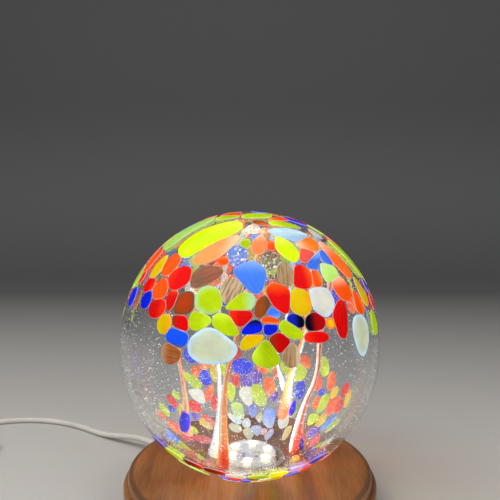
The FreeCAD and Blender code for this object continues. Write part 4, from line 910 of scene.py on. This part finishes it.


# %% [markdown]
# ### The chips' finish
#
# Coloured glass lit from inside glows, and its rim, where it thins out, is a fine pale line. The
# finish mixes the two colours by their share, with streaks from a noise stretched along the
# chip, and pales the last third of a millimetre. The under side, seen through the seeded wall,
# has painted haze: it is a little greyer, the more so near the lights, where it is painted glare.
# A part of the light passes as in milk glass, and a weak glow stands for the light inside. Lamps
# see the chips as tinted film, so that the chips throw their colours on the wood.

# %% Chip finish
RIM_LINE, RIM_END = 0.30, 0.05
RIM_PALE, RIM_COLOUR = 0.5, (0.86, 0.82, 0.76)
CHIP_GLOW, MILKY = 0.22, 0.35
# Painted haze and painted glare on the chips' under sides: their colour, and how much away from and near the
# lights
PAINTED_HAZE_COLOUR, PAINTED_HAZE_SHARE, PAINTED_GLARE_SHARE = linear((196, 208, 212)), 0.08, 0.75
GLARE_PLACE, GLARE_FROM, GLARE_TO = (0, 20 * MM, 20 * MM), 32 * MM, 12 * MM
# Painted glints: the size of the facets, how much their edges bend, and their colour
FACETS, FACET_BEND, PAINTED_GLINT = 1200, (0.0015, 0.0015, 0.0015), (1.6, 1.6, 1.6)


def chip_finish():
    made, tree, shader = graph("fused_chips")
    marks = parts(tree, attribute(tree, "marks", "Vector"))
    spot = attribute(tree, "spot", "Vector")
    inside = attribute(tree, "inside")
    # Streaks run the length of the chip: the noise is stretched that way
    stretched = add(tree, "ShaderNodeMapping", {"Vector": spot, "Scale": (0.10, 1.0, 0.0)})
    streaks = span(tree, noise(tree, stretched.outputs["Vector"], 1.1, 2), 0.42, 0.58)
    streaks = number(tree, "MULTIPLY", streaks, marks["Y"])
    share = number(tree, "ADD", marks["X"], streaks, use_clamp=True)
    batch = mixed(tree, share, attribute(tree, "body", "Color"), attribute(tree, "second", "Color"))
    clouds = ramp(tree, noise(tree, placed(tree), 160, 3), (0.30, (0.80, 0.80, 0.80)), (0.65, (1, 1, 1)))
    colour = mixed(tree, 0.7, batch, clouds, "MULTIPLY")
    # The pale line along the rim of the outer face
    rim = span(tree, parts(tree, spot)["Z"], RIM_LINE, RIM_END)
    rim = number(tree, "MULTIPLY", rim, span(tree, inside, 0.0, 1.0, RIM_PALE, 0.0))
    colour = mixed(tree, rim, colour, RIM_COLOUR)
    # Painted haze: what is seen from inside is greyed a little, and far more near the lights, as painted
    # glare
    from_lights = vector(tree, "DISTANCE", placed(tree), GLARE_PLACE)
    painted_haze = span(tree, from_lights, GLARE_FROM, GLARE_TO, PAINTED_HAZE_SHARE, PAINTED_GLARE_SHARE)
    colour = mixed(tree, number(tree, "MULTIPLY", inside, painted_haze), colour, PAINTED_HAZE_COLOUR)
    # Painted glints: small bright facets of painted reflection, like crumpled foil, in the few chips that
    # are nearly clear; they glow too
    inputs = {"Vector": placed(tree), "Scale": 420.0, "Detail": 1.0}
    bend = vector(tree, "MULTIPLY", add(tree, "ShaderNodeTexNoise", inputs).outputs["Color"], FACET_BEND)
    inputs = {"Vector": vector(tree, "ADD", placed(tree), bend), "Scale": FACETS}
    cells = add(tree, "ShaderNodeTexVoronoi", inputs).outputs["Color"]
    cell = add(tree, "ShaderNodeSeparateColor", {"Color": cells}).outputs[0]
    glints = number(tree, "MULTIPLY", span(tree, cell, 0.78, 1.05), attribute(tree, "glints"))
    colour = mixed(tree, glints, colour, PAINTED_GLINT)
    looks = {
        "Base Color": colour,
        "Emission Color": colour,
        "Emission Strength": CHIP_GLOW,
        "Roughness": 0.08,
        "Specular IOR Level": 0.15,
        "Alpha": number(tree, "SUBTRACT", 1.0, marks["Z"]),
    }
    fill(tree, shader, looks)
    through = add(tree, "ShaderNodeBsdfTranslucent", {"Color": colour}).outputs[0]
    let_lamps_through(tree, mixed_shader(tree, MILKY, shader.outputs[0], through), batch)
    return made


chip_glass = chip_finish()
for colour_name in BATCHES:
    solid_name = f"chips_{colour_name}"
    chips = grow_chips(f"fused_{colour_name}", frame["nodes"][solid_name], colour_name)
    put(chips, chip_glass)
    carried(chips, "ball", f"{colour_name}_glass", solid_name)
    print(colour_name, "chip faces", len(chips.data.polygons))

# %% [markdown]
# ## Pulled strands
#
# The strands were drawn from the dome to the bottom while the glass was soft, so they swell
# where they join. Their solids have the right line and girth in a few rings. A voxel remesh
# followed by smoothing turns the rings into one soft body, as surface tension does, and the
# ends are pushed a little into the wall so that they read as fused. Each has several colours
# side by side, and its points keep how far across it they lie. The pale colours near its edges
# are partly clear glass round the coloured threads and partly painted reflection.

# %% Strands
VOXEL = 0.45 * MM
SMOOTH_BY, SMOOTH_ROUNDS = 0.5, 14
FUSE_WITHIN, FUSE_BY = 1.0 * MM, 0.25 * MM
SLICE, SLIMMEST = 1.0 * MM, 0.1 * MM


def mark_across(mesh):
    """Keeps on each point how far across its strand it lies: 0 at the left edge, 1 at the right."""
    places = np.zeros(3 * len(mesh.vertices))
    mesh.vertices.foreach_get("co", places)
    places = places.reshape(-1, 3)
    slices = np.floor(places[:, 2] / SLICE).astype(int)
    across = np.zeros(len(places))
    for level in np.unique(slices):
        here = slices == level
        x = places[here, 0]
        across[here] = (x - x.min()) / max(x.max() - x.min(), SLIMMEST)
    mesh.attributes.new("across", "FLOAT", "POINT").data.foreach_set("value", across)


def soften(name, node):
    data = node.data.copy()
    data.name = name
    face_out(data)
    carrier = shown(name, data)
    remesh = carrier.modifiers.new("even", "REMESH")
    remesh.mode = "VOXEL"
    remesh.voxel_size = VOXEL
    smooth = carrier.modifiers.new("soft", "SMOOTH")
    smooth.factor = SMOOTH_BY
    smooth.iterations = SMOOTH_ROUNDS
    piece = grown(carrier, name)
    for vertex in piece.data.vertices:
        middle = nearest_middle(vertex.co)
        reach = vertex.co - middle
        if reach.length > inner_radius - FUSE_WITHIN:
            vertex.co = middle + reach.normalized() * (reach.length + FUSE_BY)
    mark_across(piece.data)
    shade(piece, ALL_SMOOTH)
    return piece


CREAM, MILK, FROST = (230, 222, 190), (226, 228, 232), (184, 204, 230)
GOLD, SCARLET, ROSE = (238, 164, 88), (244, 66, 26), (196, 112, 100)
CORAL, BLUSH = (230, 146, 108), (232, 202, 190)
# Colours across the shaft, then across the foot, as (place, colour); where the foot ends, in height.
# The pale colours near the edges are partly clear glass round the threads and partly painted
# reflection along the edges.
STRAND_COLOURS = {
    "strand_left": (
        ((0.10, CREAM), (0.34, CREAM), (0.46, CORAL), (0.85, CORAL), (1.0, ROSE)),
        ((0.10, MILK), (0.40, BLUSH), (0.80, CORAL), (1.0, CORAL)),
        30 * MM,
    ),
    "strand_pale": (
        ((0.0, FROST), (0.30, MILK), (0.75, MILK), (1.0, FROST)),
        ((0.0, (120, 136, 186)), (0.25, MILK), (0.70, CREAM), (1.0, GOLD)),
        30 * MM,
    ),
    "strand_front": (
        ((0.12, CREAM), (0.36, CREAM), (0.46, GOLD), (0.80, GOLD), (1.0, (196, 116, 60))),
        ((0.05, CREAM), (0.22, (240, 140, 40)), (0.45, SCARLET), (0.85, SCARLET), (1.0, GOLD)),
        34 * MM,
    ),
    "strand_back": (
        ((0.0, (226, 110, 60)), (0.38, GOLD), (0.52, MILK), (1.0, FROST)),
        ((0.0, (236, 110, 84)), (0.60, (238, 104, 50)), (0.80, BLUSH), (1.0, MILK)),
        42 * MM,
    ),
    "strand_right": (
        ((0.10, BLUSH), (0.30, BLUSH), (0.42, ROSE), (0.62, ROSE), (0.74, BLUSH), (1.0, BLUSH)),
        ((0.05, MILK), (0.22, SCARLET), (0.80, SCARLET), (1.0, (232, 130, 130))),
        36 * MM,
    ),
    "strand_thin": (
        ((0.0, FROST), (0.5, (196, 212, 228)), (1.0, FROST)),
        ((0.0, FROST), (0.5, (206, 220, 226)), (1.0, FROST)),
        40 * MM,
    ),
}
# The blue drops caught in two of the feet: place in millimetres, radius
DROPS = {
    "strand_left": ((-34.0, 2.4, 38.4), 3.3),
    "strand_right": ((27.2, -1.6, 26.0), 2.4),
}
DROP_TALL = 2.1
DROP_BLUE = linear((10, 16, 215))
BLEND_HIGH = 12 * MM
STRAND_GLOW = 0.12
LEAST_VEIN, MOST_VEIN, VEIN_SHARE = 0.56, 0.64, 0.55
WANDER = 0.22


def strand_finish(name, shaft, foot, foot_high, drop):
    made, tree, shader = graph(name)
    place = placed(tree)
    wander = noise(tree, placed(tree, (1, 1, 0.05)), 420, 2)
    across = number(tree, "MULTIPLY_ADD", wander, WANDER, attribute(tree, "across"))
    across = number(tree, "SUBTRACT", across, WANDER / 2)
    up = span(tree, parts(tree, place)["Z"], foot_high - BLEND_HIGH / 2, foot_high + BLEND_HIGH / 2)
    low, high = (ramp(tree, across, *((at, linear(c)) for at, c in stops)) for stops in (foot, shaft))
    fine = noise(tree, placed(tree, (1, 1, 0.04)), 1100, 2)
    vein = span(tree, fine, LEAST_VEIN, MOST_VEIN, 0.0, VEIN_SHARE)
    colour = mixed(tree, vein, mixed(tree, up, low, high), linear(ROSE), "MULTIPLY")
    if drop:
        (x, y, z), radius = drop
        middle = (-x * MM, -y * MM, -z * MM / DROP_TALL)
        inputs = {"Vector": place, "Location": middle, "Scale": (1, 1, 1 / DROP_TALL)}
        off = vector(tree, "LENGTH", add(tree, "ShaderNodeMapping", inputs).outputs["Vector"])
        colour = mixed(tree, span(tree, off, radius * 1.1 * MM, radius * 0.9 * MM), colour, DROP_BLUE)
    looks = {
        "Base Color": colour,
        "Emission Color": colour,
        "Emission Strength": STRAND_GLOW,
        "Roughness": 0.05,
        "Transmission Weight": 0.15,
        "IOR": 1.45,
    }
    fill(tree, shader, looks)
    let_lamps_through(tree, shader.outputs[0], (0.92, 0.86, 0.82))
    return made
for strand_name, colours in STRAND_COLOURS.items():
    strand = soften(f"pulled_{strand_name}", frame["nodes"][strand_name])
    put(strand, strand_finish(f"{strand_name}_finish", *colours, DROPS.get(strand_name)))
    carried(strand, "ball", f"{strand_name}_glass", strand_name)
    print(strand_name, "faces", len(strand.data.polygons))

# %% [markdown]
# ### The loose blue drop
#
# Beside the foot of the back strand hangs a drop of cobalt glass of its own, pulled long with the
# strand and leaning as it does. Its rings follow a half sine, drawn in towards the top.

# %% Blue drop
DROP_LOW, DROP_TOP = Vector((22.6, 27.6, 31.2)) * MM, Vector((25.4, 26.2, 41.8)) * MM
DROP_RADIUS = 1.9 * MM
DROP_RINGS, DROP_SIDES = 14, 20
drop_points, drop_faces = [DROP_LOW], []
for ring in range(1, DROP_RINGS):
    share = ring / DROP_RINGS
    wide = DROP_RADIUS * math.sin(math.pi * share**0.8) * (1 - 0.25 * share)
    for side in range(DROP_SIDES):
        angle = 2 * math.pi * side / DROP_SIDES
        level = DROP_LOW.lerp(DROP_TOP, share)
        drop_points.append(level + Vector((wide * math.cos(angle), wide * math.sin(angle), 0)))
drop_points.append(DROP_TOP)
for side in range(DROP_SIDES):
    after = (side + 1) % DROP_SIDES
    drop_faces.append((0, 1 + after, 1 + side))
    for ring in range(DROP_RINGS - 2):
        low, high = 1 + ring * DROP_SIDES, 1 + (ring + 1) * DROP_SIDES
        drop_faces.append((low + side, low + after, high + after, high + side))
    last = 1 + (DROP_RINGS - 2) * DROP_SIDES
    drop_faces.append((last + side, last + after, len(drop_points) - 1))
blue_drop = piece_from("blue_drop", drop_points, drop_faces)
face_out(blue_drop.data)
shade(blue_drop, ALL_SMOOTH)
drop_glass, drop_tree, drop_shader = graph("drop_glass")
looks = {"Base Color": DROP_BLUE, "Emission Color": DROP_BLUE, "Roughness": 0.05}
fill(drop_tree, drop_shader, {**looks, "Emission Strength": STRAND_GLOW})
put(blue_drop, drop_glass)
carried(blue_drop, "ball", "strand_back_glass")
print("drop faces", len(blue_drop.data.polygons))

# %% [markdown]
# ## The wooden base
#
# The base is turned from one board, so its fine grain runs straight across it, front to back,
# and shows on the top, the shoulder and the rim alike. A pattern on Object coordinates does
# that by itself: a noise stretched along Y makes the fibres, a slower one the darker bands.

# %% Wood
# Painted shade on the rounded shoulder: the radii where it starts, is full, ends and has faded
SHOULDER_FROM, SHOULDER_FULL = 58.2 * MM, 58.9 * MM
SHOULDER_END, SHOULDER_FADED = 60.6 * MM, 61.0 * MM
SHOULDER_SHADE_COLOUR, SHOULDER_SHADE_SHARE = linear((80, 58, 36)), 0.75
DARK_WOOD, LIGHT_WOOD = linear((118, 74, 42)), linear((158, 106, 60))


def wood_finish():
    made, tree, shader = graph("turned_wood")
    fibre = noise(tree, placed(tree, (1, 0.05, 1)), 1500, 4, 0.6)
    band = noise(tree, placed(tree, (1, 0.10, 1)), 90, 3)
    light = ramp(tree, band, (0.32, DARK_WOOD), (0.70, LIGHT_WOOD))
    lines = ramp(tree, fibre, (0.38, (0.62, 0.55, 0.48)), (0.60, (1, 1, 1)))
    grained = mixed(tree, 0.65, light, lines, "MULTIPLY")
    # Painted shade: a dark ring round the rounded shoulder
    out = vector(tree, "LENGTH", placed(tree, (1, 1, 0)))
    from_inside = span(tree, out, SHOULDER_FROM, SHOULDER_FULL)
    to_outside = span(tree, out, SHOULDER_END, SHOULDER_FADED)
    ring = number(tree, "SUBTRACT", from_inside, to_outside)
    ring = number(tree, "MULTIPLY", ring, SHOULDER_SHADE_SHARE)
    looks = {
        "Base Color": mixed(tree, ring, grained, SHOULDER_SHADE_COLOUR),
        "Roughness": ramp(tree, fibre, (0.3, (0.48, 0.48, 0.48)), (0.7, (0.34, 0.34, 0.34))),
        "Coat Weight": 0.12,
        "Coat Roughness": 0.2,
    }
    fill(tree, shader, looks)
    bump(tree, shader, fibre, 0.35, 0.15 * MM)
    return made

put(frame["nodes"]["base_plinth"], wood_finish())

# %% [markdown]
# ## The other pieces
#
# The rest keeps its solids and gets its finish: moulded plastic with a fine grain, rubber,
# plated steel, brass and the white board. One function makes each plain finish, with a noise
# for the small changes in colour and another for the surface.

# %% Plain finishes
DARKER = 0.86


def plain_finish(name, colour, rough, metal=0.0, grain=900, depth=0.03):
    made, tree, shader = graph(name)
    low = tuple(DARKER * value for value in colour)
    uneven = ramp(tree, noise(tree, placed(tree), 90, 3), (0.3, low), (0.7, colour))
    fill(tree, shader, {"Base Color": uneven, "Roughness": rough, "Metallic": metal})
    bump(tree, shader, noise(tree, placed(tree), grain, 2), 0.2, depth * MM)
    return made

# %% [markdown]
# ### Glare on the clear cap
#
# The clear cap over the lights is never quite clean or smooth, so each light makes a soft bright
# patch on it. The patches repeat six times round the axis: the angle is wrapped into one sixth
# of a turn, and the distance from the light that stands in that sixth gives the brightness.

# %% Cap and lens finish
LIGHTS, LIGHT_RING, FIRST_LIGHT = 6, 9.8 * MM, math.radians(22)
GLARE_RADIUS, GLARE, GLARE_HAZE = 3.6 * MM, 1.1, 0.10
CAP_FILM = (0.15, 0.15, 0.15)
LENS_LIT_FROM, LENS_LIT_TO = 21.75 * MM, 21.88 * MM
LENS_GLOW = 3.0


def cap_finish():
    made, tree, shader = graph("clear_cap")
    turned = parts(tree, placed(tree, (1, 1, 1), (0, 0, -FIRST_LIGHT)))
    angle = number(tree, "ARCTAN2", turned["Y"], turned["X"])
    half = math.pi / LIGHTS
    folded = number(tree, "WRAP", angle, half, -half)
    out = vector(tree, "LENGTH", placed(tree, (1, 1, 0)))
    along = number(tree, "MULTIPLY", out, number(tree, "COSINE", folded))
    along = number(tree, "SUBTRACT", along, LIGHT_RING)
    across = number(tree, "MULTIPLY", out, number(tree, "SINE", folded))
    off = add(tree, "ShaderNodeCombineXYZ", {"X": along, "Y": across}).outputs[0]
    off = vector(tree, "LENGTH", off)
    near = span(tree, off, GLARE_RADIUS, 0.0, GLARE_HAZE, interpolation_type="SMOOTHSTEP")
    looks = {
        "Base Color": (0.97, 0.98, 0.98),
        "Roughness": 0.12,
        "IOR": 1.45,
        "Transmission Weight": 1.0,
        "Emission Color": ramp(tree, near, (0.0, (0, 0, 0)), (1.0, (1.0, 0.99, 0.95))),
        "Emission Strength": GLARE,
    }
    fill(tree, shader, looks)
    bump(tree, shader, noise(tree, placed(tree), 300, 2), 0.05, 0.05 * MM)
    let_lamps_through(tree, shader.outputs[0], CAP_FILM)
    return made


def lens_finish():
    """Only the top of a light's lens glows; its sides stay dim, so the board isn't flooded."""
    made, tree, shader = graph("light_lens")
    top = span(tree, parts(tree, placed(tree))["Z"], LENS_LIT_FROM, LENS_LIT_TO)
    looks = {
        "Base Color": (0.90, 0.82, 0.55),
        "Roughness": 0.3,
        "Emission Color": ramp(tree, top, (0.0, (0.10, 0.08, 0.04)), (1.0, (1.0, 0.95, 0.86))),
        "Emission Strength": LENS_GLOW,
    }
    fill(tree, shader, looks)
    return made


# %% Finishes by slot
steel = plain_finish("plated_steel", (0.62, 0.62, 0.63), 0.28, 1.0, 1500, 0.01)
FINISHES = {
    "cord_skin": plain_finish("cord_skin", (0.62, 0.59, 0.54), 0.45),
    "relief_rubber": plain_finish("relief_skin", (0.56, 0.53, 0.48), 0.6),
    "core_skin": plain_finish("core_skin", (0.75, 0.74, 0.70), 0.4),
    "switch_plastic": plain_finish("switch_skin", (0.66, 0.63, 0.58), 0.38),
    "white_plastic": plain_finish("white_plastic", (0.80, 0.80, 0.78), 0.35),
    "board_white": plain_finish("board_white", (0.52, 0.60, 0.59), 0.6),
    "black_plastic": plain_finish("black_plastic", (0.025, 0.025, 0.027), 0.5),
    "foot_rubber": plain_finish("foot_rubber", (0.03, 0.03, 0.032), 0.8),
    "steel": steel,
    "plug_steel": steel,
    "contact_brass": plain_finish("contact_brass", (0.72, 0.52, 0.20), 0.3, 1.0, 1500, 0.01),
    "silicone": plain_finish("silicone", (0.72, 0.72, 0.70), 0.55),
    "light_lens": lens_finish(),
    "clear_plastic": cap_finish(),
}
for entry in frame["record"]["subparts"]:
    if entry["material_slot"] in FINISHES:
        put(frame["nodes"][entry["node"]], FINISHES[entry["material_slot"]])
for cord in (cord_to_switch, cord_to_plug):
    put(cord, FINISHES["cord_skin"])

# %% [markdown]
# ## The light inside
#
# The six lights shine up into the ball. Their lenses glow, and three warm lamps do the lighting:
# a small disc just above the cap shines upwards, as the lights do, and two weak round ones, near
# the middle and low down, stand for what the glass scatters about, so the petals and the strands
# are lit from within and the chips tint the wood around the foot.

# %% Inner lamps
UP_POWER, UP_HIGH, UP_WIDE = 0.030, 26.5 * MM, 22 * MM
ROUND_LAMPS = [(0.045, 62 * MM), (0.110, 33 * MM)]
ROUND_SOFT = 8 * MM


def inner_lamp(name, kind, power, high):
    data = bpy.data.lights.new(name, kind)
    data.energy = power
    data.color = (1.0, 0.97, 0.91)
    lamp = shown(name, data)
    lamp.location = (0, 0, high)
    lamp.rotation_euler = (math.pi, 0, 0)
    for seen_by in ("visible_camera", "visible_glossy", "visible_transmission"):
        setattr(lamp, seen_by, False)
    return data


upward_lamp = inner_lamp("upward", "AREA", UP_POWER, UP_HIGH)
upward_lamp.shape = "DISK"
upward_lamp.size = UP_WIDE
for power, high in ROUND_LAMPS:
    inner_lamp("round_about", "POINT", power, high).shadow_soft_size = ROUND_SOFT
